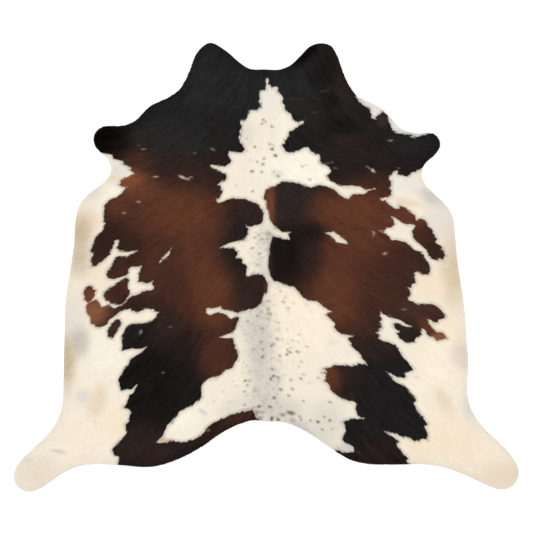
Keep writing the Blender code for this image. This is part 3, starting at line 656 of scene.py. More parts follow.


# The tones of the hair, as they look in the studio's light.
# One tone, the lighter, greyer black of the neck, shoulders and fore shanks, is black hair with its sheen
# painted in.
DARK_TONES = {
    "jet": "060403", "ink": "191615", "black": "1F1D1D", "black with painted sheen": "252525", "sooty": "292222",
    "dusky": "2F2725", "smoky": "3C3130", "brown black": "2F2421", "bitter brown": "31211C",
    "dark brown": "3E2922", "brown": "4C2E24", "chestnut": "613928", "warm chestnut": "68402D",
    "red brown": "6D402C", "fox": "7F4C33", "tan": "87583C",
}
PALE_TONES = {
    "white": "FDF6E6", "warm white": "FCEFDA", "cream": "F5EBD9", "peach": "F7E5CC", "pearl": "ECE8E4",
    "ivory": "E8DCC8", "shell": "E8E0D6", "oat": "EAD8C0", "beige": "D8C3A2", "fawn": "CCBA9D",
    "roan": "CCC5BE", "ash": "C9C0B5", "dove": "DBD5CA", "lilac": "D9D2D0", "rose grey": "DDCFC4",
    "lavender": "D0C9C7", "apricot": "CBA27A",
}

# What that light does to the hair's own colours: how many times brighter they look, and the grey that
# the hair's gloss adds to them.
LIT_TONES = [
    {"tones": DARK_TONES, "brighter": 1.10, "veil": 0.0014},
    {"tones": PALE_TONES, "brighter": 1.125, "veil": 0.0},
]

SOFT_EDGE = 3                     # how firmly an area of tone holds up to its edge

# Where the dark hair and the cream hair change their tone: soft-edged areas, laid over one another in
# this order. Each row is a place, x and y, half length and half width, lean in degrees, the tone and
# its strength.
DARK_AREAS = [
    ("neck, left", -22, 78, 30, 20, 0, "black with painted sheen", 1),
    ("shoulder, left", -42, 57, 22, 10, 0, "black with painted sheen", 1),
    ("fore shank, left", -72, 56, 14.5, 11, 0, "jet", 1),
    ("end of the fore shank, left", -54, 56, 5.2, 7, 0, "black with painted sheen", 0.95),
    ("beside the blaze, left", -21, 60, 6, 7, 0, "black", 0.8),
    ("side, left", -43, 5, 42, 36, -8, "brown", 1),
    ("under the shoulder, left", -32, 54, 9, 5, 0, "black with painted sheen", 0.7),
    ("arm, left", -58, 36, 12, 7, -20, "warm chestnut", 0.9),
    ("above the arm, left", -45, 45.5, 8, 3.5, 0, "dusky", 0.6),
    ("top of the arm, left", -56, 46.5, 7, 4, 0, "brown", 0.7),
    ("elbow, left", -60, 38, 6, 4, 0, "fox", 0.9),
    ("ribs, left", -38, 24, 19, 10, -5, "chestnut", 0.95),
    ("belly, left", -68, 11, 9, 11, 0, "bitter brown", 0.95),
    ("below the elbow, left", -65, 27, 5.5, 5, 0, "chestnut", 0.7),
    ("beside the upper lobe, left", -58, 7, 5.5, 8, 0, "bitter brown", 0.7),
    ("beside the spine, left", -9.5, 21.5, 8, 9.5, 0, "brown black", 0.95),
    ("beside the star", -13, 4, 9, 13, 0, "black", 0.9),
    ("above the star, left", -9, 16, 5, 4, 0, "black", 0.7),
    ("middle of the side, left", -41, -7, 9, 6, 0, "dark brown", 0.5),
    ("beside the tan patch", -58, -15, 5, 4, 0, "bitter brown", 0.6),
    ("back, left", -30, 8, 8, 14, 0, "chestnut", 0.5),
    ("outer loin, left", -33, -17, 12, 8, 0, "brown", 0.95),
    ("loin, left", -24, -10, 9, 13, 0, "chestnut", 0.95),
    ("knob", -6, -10, 7, 7, 0, "brown black", 0.95),
    ("rim of the knob", 0.6, -8.5, 1.6, 4, 0, "chestnut", 0.7),
    ("tan patch", -75, -19.5, 7, 6.5, 0, "tan", 1),
    ("small patch", -77, -12, 4, 4, 0, "red brown", 0.9),
    ("rump, left", -50, -57, 24, 36, 0, "ink", 1),
    ("hip, left", -45, -25, 11, 8.5, -45, "brown black", 0.8),
    ("outer hip, left", -57, -29, 9, 7, 0, "black", 0.9),
    ("oval, left", -66.5, -27, 4.5, 6, 0, "dark brown", 0.9),
    ("inner loin, left", -20, -38, 9.5, 16, 0, "brown", 1),
    ("back of the loin, left", -22, -22, 7, 5, 0, "chestnut", 0.6),
    ("hind rim, left", -52, -79, 18, 11, 0, "brown black", 0.85),
    ("warm spot of the hind rim", -52, -80, 7, 5, 0, "bitter brown", 0.6),
    ("band over the tail", -22, -71, 12, 6, 20, "bitter brown", 0.8),
    ("root of the tail", -11.5, -65, 7.5, 3.6, 25, "brown", 0.6),
    ("neck, right", 22, 80, 26, 16, 0, "black with painted sheen", 1),
    ("cheek, right", 17, 92.6, 8, 3, 42, "jet", 0.9),
    ("rim of the cheek, right", 33, 83.5, 9.5, 3.5, -67, "brown black", 0.7),
    ("middle of the neck, right", 25, 85, 6.5, 9, 0, "ink", 0.85),
    ("crest, right", 35, 74, 8, 5, 0, "brown black", 0.5),
    ("under the cheek, right", 18.5, 71, 5.5, 5, 0, "sooty", 0.6),
    ("hollow of the neck, right", 27.5, 71.5, 4.5, 5, 0, "ink", 0.85),
    ("shoulder, right", 40, 56, 26, 12, 0, "sooty", 0.6),
    ("point of the shoulder", 33, 61, 8, 5, 0, "ink", 0.8),
    ("under the shoulder", 36, 55, 6, 3, 0, "brown black", 0.6),
    ("spike of the shoulder", 50.6, 64.3, 2.6, 3, 0, "smoky", 0.9),
    ("fore shank, right", 62, 54.5, 9, 5, 0, "black with painted sheen", 1),
    ("side, right", 46, 3, 36, 31, 0, "brown", 1),
    ("armpit, right", 48, 36.5, 10, 4.5, 0, "dark brown", 0.9),
    ("ribs, right", 38, 25, 24, 9, 0, "chestnut", 1),
    ("elbow, right", 62, 22, 10, 6, 0, "chestnut", 0.9),
    ("belly, right", 72, 4, 6, 6, 0, "bitter brown", 0.9),
    ("lower flank, right", 63, -3, 14, 13, 0, "dark brown", 0.95),
    ("lower ribs, right", 38, 12.5, 15, 9, 0, "chestnut", 0.8),
    ("loin, right", 28, -10, 12, 15, 0, "chestnut", 0.9),
    ("saddle", 9, 7, 13.8, 17.5, 0, "ink", 1),
    ("edge of the saddle", 19.5, 5, 5, 10, 0, "brown black", 0.7),
    ("lobe of the saddle", 21, 15, 6, 5, 0, "ink", 0.7),
    ("top of the saddle", 11, 30.5, 10.5, 10, 0, "dusky", 1),
    ("stripe on the spine", 1.4, 26.5, 3.4, 10.5, 0, "red brown", 1),
    ("tip beside the spine, left", -4.5, 25, 3.6, 5.5, 0, "brown black", 0.95),
    ("edge of the stripe", 5.9, 27, 2.4, 11, 0, "dusky", 0.9),
    ("sheen by the spine", 1.2, 3, 1.3, 8, 0, "dark brown", 0.7),
    ("hip, right", 39, -27, 11, 9, 0, "brown", 0.95),
    ("point of the hip, right", 33, -20, 7, 5, 0, "chestnut", 0.8),
    ("outer hip, right", 48, -23, 8, 6, -30, "dark brown", 0.6),
    ("fingers, right", 67, -19, 12, 5, 0, "brown", 0.75),
    ("dust on the fingers", 63, -18, 7, 3.5, 0, "smoky", 0.5),
    ("lower finger", 71, -26.5, 6, 3, -35, "chestnut", 0.9),
    ("finger tips", 76, -30.5, 4, 2.5, 0, "tan", 0.95),
    ("hook", 60, -28, 5.5, 4, 0, "brown black", 0.8),
    ("rump, right", 50, -58, 22, 28, 0, "black", 1),
    ("inner loin, right", 43, -36, 14, 6, 0, "brown black", 0.85),
    ("beside the brown of the rump", 37, -48, 6, 5, 0, "brown black", 0.7),
    ("brown of the rump", 26.5, -49, 6, 8, 0, "chestnut", 0.85),
    ("inner thigh, right", 34, -59, 6, 5, 0, "brown black", 0.8),
    ("hind rim, right", 50, -81, 13, 6, 0, "bitter brown", 0.4),
]
PALE_AREAS = [
    ("right wing of the blaze", 16, 42, 16, 8.5, 0, "white", 0.95),
    ("right of the blaze", 9, 59, 5, 8, 0, "white", 0.5),
    ("top of the blaze", 0, 74, 7, 8, 0, "pearl", 0.5),
    ("left of the blaze", -9.5, 58, 4, 7, 0, "dove", 0.55),
    ("smudge on the blaze", 5, 40.5, 3, 2, 0, "dove", 0.6),
    ("star on the back", -0.5, 8, 4, 13, 0, "lilac", 0.55),
    ("top of the star", 1.5, 13, 3.5, 5, 0, "roan", 0.45),
    ("rump, right", 16, -24, 15, 15, 0, "warm white", 0.95),
    ("roan left of the spine", -9, -25, 4, 8, 0, "dove", 0.6),
    ("roan of the spine", -2.8, -34, 6, 25, 0, "roan", 0.74),
    ("roan of the rump", 3, -49, 4, 8, 0, "dove", 0.8),
    ("over the tail", 3, -61, 14, 6, -10, "roan", 0.65),
    ("inner thigh, right", 27, -68, 9, 10, 0, "dove", 0.75),
    # A painted shadow darkens the cream at the rim beside the tail, on the right.
    ("painted shadow at the rim by the tail, right", 15, -71, 8, 3.5, -35, "lavender", 0.95),
    ("over the tail band, left", -15, -61, 7, 3, 20, "dove", 0.5),
    ("inner thigh, left", -34, -66, 11, 6, 37, "white", 0.5),
    ("tip by the tail band", -45, -75.3, 4, 1.4, -10, "apricot", 0.6),
    ("bruise", -27.8, -63, 2.4, 1, -33, "lavender", 0.7),
    ("smudge on the rump", 28.9, -32.8, 2, 1.6, 0, "lilac", 0.35),
    ("tuft at the rim, right", 34.5, -79, 4.5, 1.8, -10, "lavender", 0.8),
    ("shoulder, right", 58, 62, 24, 8, -25, "pearl", 0.9),
    ("armpit, right", 60, 35, 10, 4, 0, "pearl", 0.5),
    ("crease of the armpit", 72, 30, 6.5, 3, -27, "lavender", 0.8),
    ("fold of the armpit", 61.5, 28.3, 6, 1.6, -12, "oat", 0.95),
    ("belly, right", 75, 20, 7, 8, 0, "shell", 0.9),
    ("belly rim, right", 81, -1.5, 6.2, 16, 0, "beige", 0.75),
    ("flank, right", 71, -9, 7, 7, 0, "peach", 0.9),
    ("below the fingers, right", 78, -28, 8, 8, 0, "peach", 0.8),
    ("thigh, right", 75, -44, 11, 15, 0, "warm white", 0.95),
    ("flank rim, right", 85, -38.5, 5, 6.5, 0, "rose grey", 0.65),
    ("smudge on the thigh", 77.3, -58.5, 7, 3.5, -62, "oat", 0.8),
    ("hind rim, right", 88.5, -62, 3.2, 6.5, 0, "lilac", 0.45),
    ("hind shank, right", 82, -76, 17, 10, -38, "peach", 0.95),
    ("below the thigh, right", 66, -79, 7, 7, 0, "peach", 0.9),
    ("tip of the hind shank, right", 103, -90.5, 10, 6, 0, "oat", 0.9),
    ("armpit, left", -63, 43, 5, 4, 0, "shell", 0.95),
    ("tan of the armpit", -67, 38, 4, 2.5, 0, "oat", 0.9),
    ("below the armpit, left", -68, 30.5, 5, 7, 0, "white", 0.6),
    ("elbow rim, left", -77, 33, 6, 5, 0, "shell", 0.85),
    ("under the elbow, left", -77, 20, 4.5, 6, 0, "oat", 0.95),
    ("tan of the belly, left", -81, 15.5, 4.8, 7.2, 0, "fawn", 0.95),
    ("belly, left", -81, 4, 5.5, 9, 0, "fawn", 0.75),
    ("flank, left", -72, -3, 6, 8, 0, "oat", 0.35),
    ("below the spot, left", -82, -14, 4, 5, 0, "oat", 0.3),
    ("lower belly, left", -83, -23, 5.5, 10, 0, "shell", 0.85),
    # The grey and tan bands at the left rim of the flank are painted sheen, where the hair turns its way.
    ("painted sheen band of the flank, grey", -81, -33, 4.6, 6.8, 0, "ash", 1),
    ("painted sheen band of the flank, tan", -87, -41, 4.1, 12, 0, "fawn", 0.95),
    ("thigh, left", -70, -38, 9, 10, 0, "white", 0.5),
    ("smudge on the thigh, left", -80, -56.5, 3.2, 3.4, 0, "lilac", 0.65),
    ("tan of the thigh", -73.7, -58.6, 8, 4.2, 73, "oat", 1),
    ("hind shank, left", -84, -77, 12, 9, 30, "peach", 0.35),
    ("below the thigh, left", -65, -68, 6, 8, 0, "peach", 0.8),
    ("tip of the hind shank, left", -100, -89, 9, 7, 30, "ivory", 0.95),
    ("streak on the shank", -90.3, -80.3, 3.6, 0.9, -11, "lavender", 0.7),
    ("spot on the shank", -103.7, -84, 2, 1, 0, "lavender", 0.45),
]

# The mottle is by how much single locks take more or less of a tone, and the rim shade is painted
# shade: how much darker the coat's colour is made at the rim, where it rolls off to the floor.
DARK_COAT = {"base": "black", "areas": DARK_AREAS, "mottle": 0.08, "rim_shade": 0.28}
PALE_COAT = {"base": "cream", "areas": PALE_AREAS, "mottle": 0.35, "rim_shade": 0.11}
RIM_SHADE_REACH = 2.2             # centimetres over which the rim shade dies away


def linear(code):
    """Turn an sRGB hex colour to linear red, green and blue."""
    parts = np.array([int(code[index:index + 2], 16) / 255 for index in (0, 2, 4)])
    return np.where(parts <= 0.04045, parts / 12.92, ((parts + 0.055) / 1.055) ** 2.4)


HAIR_COLOURS = {
    name: np.maximum(linear(look) - lit["veil"], 0) / lit["brighter"]
    for lit in LIT_TONES
    for name, look in lit["tones"].items()
}


def toned(places, coat, shade):
    """Lay a coat's areas of tone over its base tone, in order, and give the colour at each place."""
    colour = np.tile(HAIR_COLOURS[coat["base"]], (len(places), 1))
    for _, x, y, length, width, lean, tone, strength in coat["areas"]:
        lengthwise, crosswise = turned(places - (x, y), lean)
        cover = strength * np.exp(-np.hypot(lengthwise / length, crosswise / width) ** SOFT_EDGE)
        cover = np.clip(cover * (1 + coat["mottle"] * shade), 0, 1)
        colour += cover[:, None] * (HAIR_COLOURS[tone] - colour)
    return colour


# Combed unevenness: small values scattered over the hide and drawn out along the hair.
COMB_STEP = 0.35                  # centimetres between the values
COMB_LENGTH = 6                   # how many places along the hair share in one streak
COMB_LOW = np.array([-120.0, -110.0])
COMB_SIZE = (690, 630)            # values, which cover the hide and about 10 cm round it
comb_values = chance.normal(0, 1, COMB_SIZE)


def combed(places, stride):
    """Give an unevenness of about -1 to 1 that runs in streaks along the hair."""
    at = places.copy()
    total = np.zeros(len(places))
    for _ in range(COMB_LENGTH):
        total += read_map(comb_values, COMB_LOW, COMB_STEP, at)
        at += hair_way(at) * stride
    return total / math.sqrt(COMB_LENGTH)


def mark(mesh, places, ragged, shade):
    """Store what the coat's material reads at each point of a mesh, from places in centimetres."""
    inset = read_map(inset_map, map_low, INSET_STEP, places * CENTIMETRE) / CENTIMETRE
    near_rim = np.exp(-np.maximum(inset, 0) / RIM_SHADE_REACH)
    kept = {
        "patch_depth": patch_depth(places) + ragged,
        "tick": speckled(places, dark_marks),
        "nick_and_crease_light": speckled(places, NICKS_AND_CREASE_LIGHT),
        "shade": shade,
    }
    for name, values in kept.items():
        layer = mesh.attributes.new(name, "FLOAT", "POINT")
        layer.data.foreach_set("value", values.astype(np.float32))
    for name, coat in (("dark_tone", DARK_COAT), ("pale_tone", PALE_COAT)):
        layer = mesh.attributes.new(name, "FLOAT_COLOR", "POINT")
        # Painted shade: each coat's colour is darkened towards the rim, where it rolls off to the floor.
        colour = toned(places, coat, shade) * (1 - coat["rim_shade"] * near_rim[:, None])
        colour = np.column_stack([colour, np.ones(len(places))])
        layer.data.foreach_set("color", colour.astype(np.float32).ravel())


RAGGED = 0.26                     # centimetres by which streaks of hair break a patch's edge
FINE_COMB = 0.45                  # centimetres from one place of a streak to the next
BROAD_COMB = 3.0                  # how many times broader the sweeps are than the streaks
SWEEP_SHARE = 0.35                # of the coat's unevenness of tone
STREAK_SHARE = 0.40
places = vertices[:, :2] / CENTIMETRE
streaks = combed(places, FINE_COMB)
sweeps = combed(places / BROAD_COMB, FINE_COMB)
mark(hide_data, places, RAGGED * streaks, SWEEP_SHARE * sweeps + STREAK_SHARE * streaks)


def paint(code):
    """Give an sRGB hex colour as a shader's socket takes it."""
    return (*linear(code), 1.0)


def add_node(tree, kind, settings, inputs, output=0):
    """Add a shader node, set it up, fill its sockets with values or link them, and give its output."""
    node = tree.nodes.new(kind)
    for name, value in settings.items():
        setattr(node, name, value)
    for socket, value in inputs.items():
        if isinstance(value, bpy.types.NodeSocket):
            tree.links.new(value, node.inputs[socket])
        else:
            node.inputs[socket].default_value = value
    return node.outputs[output]


def new_material(name):
    """Make an empty material with a shader, and give its node tree and the shader."""
    material = bpy.data.materials.new(name)
    material.use_nodes = True
    return material, material.node_tree, material.node_tree.nodes["Principled BSDF"]


# Hair on the hide: short keratin hair, brushed so that it lies flat. It looks soft and nearly matt, a
# little glossier where it is dark, with a painted grey glint in the dark hair's colour and ridges as
# fine as a lock. Its tones and markings are read from the mesh, and at a patch's edge some dark hair
# lies over the cream.
LOCK_GRAIN = 0.0025               # one lock of hair is about 2.5 mm wide
CELLS_A_GRAIN = 0.5               # as a cell of noise holds a light grain and a dark one
PATCH_EDGE = (-0.36, 0.28)        # centimetres of depth over which cream turns to dark
LYING_OVER_FROM = -1.4            # the depth at which the first dark hairs lie over the cream
LYING_OVER = 0.32                 # and the share of it that they cover next to the patch
TICK_HAIR = "5A4A42"
# The pale colour of the scars, also used for the painted light on the neck's creases.
SCAR_AND_CREASE_LIGHT = "CDB9A6"
PALE_UNEVEN, DARK_UNEVEN = 0.03, 0.10    # how far the brightness strays from lock to lock
PALE_ROUGH, DARK_ROUGH = 0.62, 0.50
# Painted glint: grey added to the colour along with the unevenness, standing in for light on dark locks.
PAINTED_GLINT = 0.0024                    # of grey, added with the unevenness, and only seen on dark hair
hair, tree, shader = new_material("hair_on_hide_brushed")
shader.inputs["IOR"].default_value = 1.45
shader.inputs["Specular IOR Level"].default_value = 0.03
read = {
    name: add_node(tree, "ShaderNodeAttribute", {"attribute_name": name}, {}, output)
    for name, output in (
        ("patch_depth", "Fac"), ("tick", "Fac"), ("nick_and_crease_light", "Fac"), ("shade", "Fac"),
        ("dark_tone", "Color"), ("pale_tone", "Color"))
}
place = add_node(tree, "ShaderNodeTexCoord", {}, {}, "Object")
grain = add_node(
    tree, "ShaderNodeTexNoise", {}, {"Vector": place, "Scale": CELLS_A_GRAIN / LOCK_GRAIN, "Detail": 2.0})
in_patch = add_node(
    tree, "ShaderNodeMapRange", {"interpolation_type": "SMOOTHSTEP"},
    {"Value": read["patch_depth"], "From Min": PATCH_EDGE[0], "From Max": PATCH_EDGE[1]})
lying_over = add_node(
    tree, "ShaderNodeMapRange", {},
    {"Value": read["patch_depth"], "From Min": LYING_OVER_FROM, "From Max": 0.0, "To Max": LYING_OVER})
dark_share = add_node(tree, "ShaderNodeMath", {"operation": "MAXIMUM"}, {0: in_patch, 1: lying_over})
ticked = add_node(
    tree, "ShaderNodeMixRGB", {},
    {"Fac": read["tick"], "Color1": read["pale_tone"], "Color2": paint(TICK_HAIR)})
nicked_and_crease_lit = add_node(
    tree, "ShaderNodeMixRGB", {},
    {"Fac": read["nick_and_crease_light"], "Color1": read["dark_tone"], "Color2": paint(SCAR_AND_CREASE_LIGHT)})
coat = add_node(
    tree, "ShaderNodeMixRGB", {}, {"Fac": dark_share, "Color1": ticked, "Color2": nicked_and_crease_lit})
unevenness = add_node(
    tree, "ShaderNodeMapRange", {}, {"Value": in_patch, "To Min": PALE_UNEVEN, "To Max": DARK_UNEVEN})
brightness = add_node(
    tree, "ShaderNodeMath", {"operation": "MULTIPLY_ADD"}, {0: read["shade"], 1: unevenness, 2: 1.0})
lit_coat = add_node(tree, "ShaderNodeHueSaturation", {}, {"Color": coat, "Value": brightness})
glinting = add_node(
    tree, "ShaderNodeMixRGB", {"blend_type": "ADD", "use_clamp": True},
    {"Fac": PAINTED_GLINT, "Color1": lit_coat, "Color2": read["shade"]})
gloss = add_node(
    tree, "ShaderNodeMapRange", {}, {"Value": in_patch, "To Min": PALE_ROUGH, "To Max": DARK_ROUGH})
ridges = add_node(tree, "ShaderNodeBump", {}, {"Strength": 0.15, "Distance": 0.0004, "Height": grain})
tree.links.new(glinting, shader.inputs["Base Color"])
tree.links.new(gloss, shader.inputs["Roughness"])
tree.links.new(ridges, shader.inputs["Normal"])

# The cut edge: chrome-tanned leather, cut with a knife, so that its pale and slightly fibrous inside
# shows as a thin matt band under the hair.
FIBRE = 0.0012                    # bundles of fibres, drawn about three times their size
CUT_DARK, CUT_PALE = "B9AB98", "DDD2C2"
cut_leather, tree, shader = new_material("chrome_tanned_leather_cut_edge")
shader.inputs["IOR"].default_value = 1.5
shader.inputs["Specular IOR Level"].default_value = 0.25
shader.inputs["Roughness"].default_value = 0.85
place = add_node(tree, "ShaderNodeTexCoord", {}, {}, "Object")
fibres = add_node(
    tree, "ShaderNodeTexNoise", {}, {"Vector": place, "Scale": CELLS_A_GRAIN / FIBRE, "Detail": 3.0})
edge_colour = add_node(
    tree, "ShaderNodeMixRGB", {}, {"Fac": fibres, "Color1": paint(CUT_DARK), "Color2": paint(CUT_PALE)})
tree.links.new(edge_colour, shader.inputs["Base Color"])

# The flesh side: the same leather, buffed to a short suede nap, mottled where the shaving knife went
# deeper, with the light and shade of the nap, which lies this way and that, painted into its colour.
MOTTLE = 0.070
NAP = 0.0030                      # tufts of the nap, drawn about five times their size
# Painted light and shade of the nap, as a brightness that goes up and down with the noise.
NAP_LIGHT = (0.86, 1.12)          # how bright the nap is where it lies away or towards
SUEDE_DARK, SUEDE_PALE = "B79F80", "DCC9AE"
suede_side, tree, shader = new_material("buffed_suede_flesh_side")
shader.inputs["IOR"].default_value = 1.5
shader.inputs["Specular IOR Level"].default_value = 0.2
shader.inputs["Roughness"].default_value = 0.95
shader.inputs["Sheen Weight"].default_value = 0.15
place = add_node(tree, "ShaderNodeTexCoord", {}, {}, "Object")
mottle = add_node(
    tree, "ShaderNodeTexNoise", {}, {"Vector": place, "Scale": CELLS_A_GRAIN / MOTTLE, "Detail": 4.0})
nap = add_node(
    tree, "ShaderNodeTexNoise", {}, {"Vector": place, "Scale": CELLS_A_GRAIN / NAP, "Detail": 3.0})
suede_colour = add_node(
    tree, "ShaderNodeMixRGB", {}, {"Fac": mottle, "Color1": paint(SUEDE_DARK), "Color2": paint(SUEDE_PALE)})
nap_light = add_node(
    tree, "ShaderNodeMapRange", {}, {"Value": nap, "To Min": NAP_LIGHT[0], "To Max": NAP_LIGHT[1]})
napped = add_node(tree, "ShaderNodeHueSaturation", {}, {"Color": suede_colour, "Value": nap_light})
nap_bump = add_node(tree, "ShaderNodeBump", {}, {"Strength": 0.4, "Distance": 0.0005, "Height": nap})
tree.links.new(napped, shader.inputs["Base Color"])
tree.links.new(nap_bump, shader.inputs["Normal"])

for material in (hair, cut_leather, suede_side):
    hide_data.materials.append(material)
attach(hide, "root")
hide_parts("hide")


def lay_map(mesh, flat):
    """Store the map on which a piece's finish is laid out, at each corner of its faces."""
    uv = mesh.uv_layers.new(name="OFBake")
    uv.data.foreach_set("uv", flat.ravel())


# On the sheet's map the coat takes the upper part of the square, and the underside with the cut edge
# the lower part, with a gap between them.
COAT_SHARE = 0.76
MAP_GAP = 0.02
across, along = (vertices[:, :2] - low).T / (high - low).max()
corner_vertices = np.empty(len(hide_data.loops), int)
hide_data.loops.foreach_get("vertex_index", corner_vertices)
corner_slots = np.repeat(face_slots, [len(face) for face in faces])
up = along[corner_vertices]
up = np.where(
    corner_slots == coat_slot, 1 - COAT_SHARE + up * COAT_SHARE, up * (1 - MAP_GAP - COAT_SHARE))
lay_map(hide_data, np.column_stack([across[corner_vertices], up]))

# ----------------------------------------------------------------------------------------------
# The lying hair. The top of the pile parts into short flat locks, rooted in the coat's body and
# overlapping like tiles along the way the hair grows. At the rim they reach out over the cut edge.
LOCK_STEP = 0.0039                # between the roots of neighbouring locks
LOCK_LENGTH = 0.0150
LOCK_WIDTH = 0.0028
LOCK_UNEVEN = (0.75, 1.25)        # of that length and width, in the smallest and the largest lock
LOCK_STRAY = 7                    # degrees by which a lock strays from its neighbours
WIDEST_AT = 0.42                  # of the way from the root to the tip
ROOT_SINK = 0.0006
SIDE_SINK = 0.0001
TIP_LIFT = (0.0002, 0.0009)
FULL_LIFT_AT = 0.006              # in from the outermost hair, where a tip lifts as much as anywhere
RIM_LIFT = 0.2                    # the share of its lift that a tip has at the rim
ROLL = 0.00012                    # how far one side of a lock lies higher than the other
RIM_REACH = (-0.0020, 0.0012)     # how far past the outermost hair a lock may end
CLOSE_TO_RIM = 0.030

# A lock is a thin closed wedge with four corners.
ROOT, LEFT, RIGHT, TIP = range(4)
LOCK_FACES = np.array([[ROOT, LEFT, TIP], [ROOT, TIP, RIGHT], [ROOT, RIGHT, LEFT], [TIP, LEFT, RIGHT]])


def lock_corners(roots):
    """Give the four corners of each lock: its root, its two sides where it is widest, and its tip."""
    count = len(roots)
    inset = depth_inside(roots, rim_coarse)
    way = hair_way(roots / CENTIMETRE)
    stray = np.radians(chance.normal(0, LOCK_STRAY, count))
    way = np.column_stack([
        way[:, 0] * np.cos(stray) - way[:, 1] * np.sin(stray),
        way[:, 0] * np.sin(stray) + way[:, 1] * np.cos(stray)])
    length = LOCK_LENGTH * chance.uniform(*LOCK_UNEVEN, count)
    width = LOCK_WIDTH * chance.uniform(*LOCK_UNEVEN, count)
    allowed = chance.uniform(*RIM_REACH, count)
    tips = roots + way * length[:, None]
    tip_inset = np.full(count, CLOSE_TO_RIM)
    close = inset < CLOSE_TO_RIM
    tip_inset[close] = depth_inside(tips[close], rim)
    over = close & (tip_inset < -allowed)
    kept = np.where(over, (inset + allowed) / np.maximum(inset - tip_inset, WELD), 1)
    length = length * kept
    tip_inset = inset + (tip_inset - inset) * kept
    middle_inset = inset + (tip_inset - inset) * WIDEST_AT
    aside = np.column_stack([-way[:, 1], way[:, 0]]) * width[:, None] / 2
    middles = roots + way * (length * WIDEST_AT)[:, None]
    tips = roots + way * length[:, None]
    roll = chance.normal(0, ROLL, count)
    lift = chance.uniform(*TIP_LIFT, count) * np.clip(tip_inset / FULL_LIFT_AT, RIM_LIFT, 1)
    middle_height = coat_height(middles, middle_inset) - SIDE_SINK
    heights = [
        coat_height(roots, inset) - ROOT_SINK, middle_height - roll, middle_height + roll,
        coat_height(tips, tip_inset) + lift]
    spots = [roots, middles - aside, middles + aside, tips]
    corners = np.stack([np.column_stack([spot, height]) for spot, height in zip(spots, heights)], 1)
    return corners[middle_inset > 0]


roots = lattice(LOCK_STEP, low, high)
roots = roots[depth_inside(roots, rim_coarse) > COAT_EDGE[0]["inset"]]
locks = lock_corners(roots)

# The locks are parted along the spine and across the hide, so that no piece grows too heavy. Each lock
# takes its colour from a small copy of itself, at the part of it that its neighbours leave to be seen.
SEEN_AT = 0.8                     # of the way from the root to the tip
OWN_COLOUR = 0.6                  # how long the copy is, as a share of the lock
OWN_SHARE = 0.35                  # of the unevenness of tone, from one lock to the next
OWN_EDGE = 0.6                    # and of a patch's broken edge
NECK_FROM, RUMP_TO, PAST_RIM = 0.315, -0.335, 1.2
HAIR_PIECES = [
    {"name": "hair_neck", "low": NECK_FROM, "high": PAST_RIM},
    {"name": "hair_side", "low": RUMP_TO, "high": NECK_FROM},
    {"name": "hair_rump", "low": -PAST_RIM, "high": RUMP_TO},
]
HALVES = {"left": -1, "right": 1}
for piece, half in itertools.product(HAIR_PIECES, HALVES):
    name = piece["name"] + "_" + half
    x, y = locks[:, ROOT, :2].T
    some = locks[(x * HALVES[half] >= 0) & (y >= piece["low"]) & (y < piece["high"])]
    spots = some.reshape(-1, 3)
    lock_faces = (LOCK_FACES + 4 * np.arange(len(some))[:, None, None]).reshape(-1, 3)
    data = bpy.data.meshes.new(name)
    data.vertices.add(len(spots))
    data.vertices.foreach_set("co", spots.astype(np.float32).ravel())
    data.loops.add(lock_faces.size)
    data.loops.foreach_set("vertex_index", lock_faces.ravel().astype(np.int32))
    data.polygons.add(len(lock_faces))
    data.polygons.foreach_set("loop_start", np.arange(0, lock_faces.size, 3, dtype=np.int32))
    data.update(calc_edges=True)
    data.shade_flat()
    flat = some[:, :, :2]
    middle = flat[:, :1] + SEEN_AT * (flat[:, TIP:] - flat[:, :1])
    reads = (middle + OWN_COLOUR * (flat - middle)).reshape(-1, 2) / CENTIMETRE
    middle = middle[:, 0] / CENTIMETRE
    streaks = np.repeat(combed(middle, FINE_COMB), 4)
    sweeps = np.repeat(combed(middle / BROAD_COMB, FINE_COMB), 4)
    own = np.repeat(chance.normal(0, 1, len(some)), 4)
    shade = SWEEP_SHARE * sweeps + STREAK_SHARE * streaks + OWN_SHARE * own
    mark(data, reads, RAGGED * (streaks + OWN_EDGE * own), shade)
    spread = spots[:, :2] - spots[:, :2].min(0)
    lay_map(data, (spread / spread.max())[lock_faces.ravel()])
    data.materials.append(hair)
    tuft = put_in_scene(name, data)
    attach(tuft, "root")

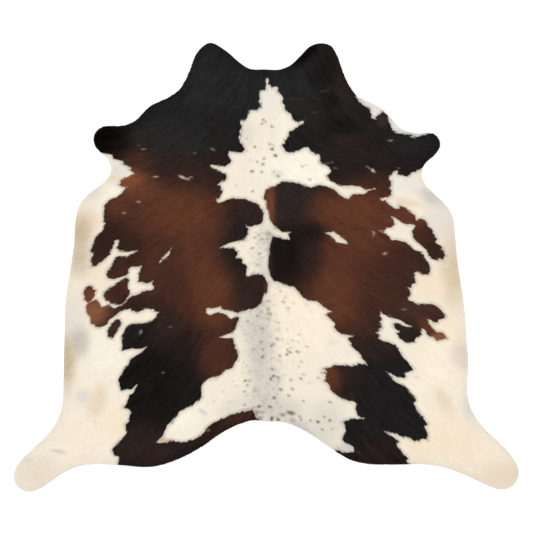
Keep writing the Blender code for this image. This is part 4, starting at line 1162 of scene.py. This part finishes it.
# ----------------------------------------------------------------------------------------------
# The floor: a sheet of matt white studio paper, wide enough for every view, just below the rug.
FLOOR_SIZE = 14.0
FLOOR_HEIGHT = -0.0004
edge = FLOOR_SIZE / 2
floor_data = bpy.data.meshes.new("studio_floor")
floor_data.from_pydata(
    [(-edge, -edge, 0), (edge, -edge, 0), (edge, edge, 0), (-edge, edge, 0)], [], [(0, 1, 2, 3)])
floor = put_in_scene("studio_floor", floor_data)
floor.location.z = FLOOR_HEIGHT
paper, tree, shader = new_material("matt_studio_paper")
shader.inputs["Base Color"].default_value = paint("FFFFFF")
shader.inputs["Roughness"].default_value = 0.9
shader.inputs["Specular IOR Level"].default_value = 0.1
floor_data.materials.append(paper)

# Soft studio light: four large softboxes round the rug, the one at the upper left a little stronger,
# and a faint white room.
SOFTBOX_SIZE = 2.0
SOFTBOX_HEIGHT = 3.4
SOFTBOXES = [
    {"name": "softbox_upper_left", "place": (-3.0, 2.6), "power": 100},
    {"name": "softbox_upper_right", "place": (3.0, 2.6), "power": 79},
    {"name": "softbox_lower_left", "place": (-3.0, -2.6), "power": 79},
    {"name": "softbox_lower_right", "place": (3.0, -2.6), "power": 79},
]
for box in SOFTBOXES:
    lamp_data = bpy.data.lights.new(box["name"], "AREA")
    lamp_data.energy = box["power"]
    lamp_data.size = SOFTBOX_SIZE
    lamp = put_in_scene(box["name"], lamp_data)
    lamp.location = (*box["place"], SOFTBOX_HEIGHT)
    lamp.rotation_euler = (-lamp.location).to_track_quat("-Z", "Y").to_euler()
ROOM_LIGHT = 0.416
room = bpy.data.worlds.new("white_room")
room.use_nodes = True
room.node_tree.nodes["Background"].inputs["Color"].default_value = (1, 1, 1, 1)
room.node_tree.nodes["Background"].inputs["Strength"].default_value = ROOM_LIGHT
bpy.context.scene.world = room
bpy.context.scene.view_settings.view_transform = "Standard"

# The camera looks straight down with a long lens, as at a rug laid out for its picture.
LENS = 85
SENSOR = 36
SEEN_WIDTH = 2.3225               # of the floor, across the whole picture
AIM = (0.0009, 0.0028)
camera_data = bpy.data.cameras.new("camera")
camera_data.lens = LENS
camera_data.sensor_width = SENSOR
camera = put_in_scene("camera", camera_data)
camera.location = (*AIM, SEEN_WIDTH * LENS / SENSOR)
bpy.context.scene.camera = camera
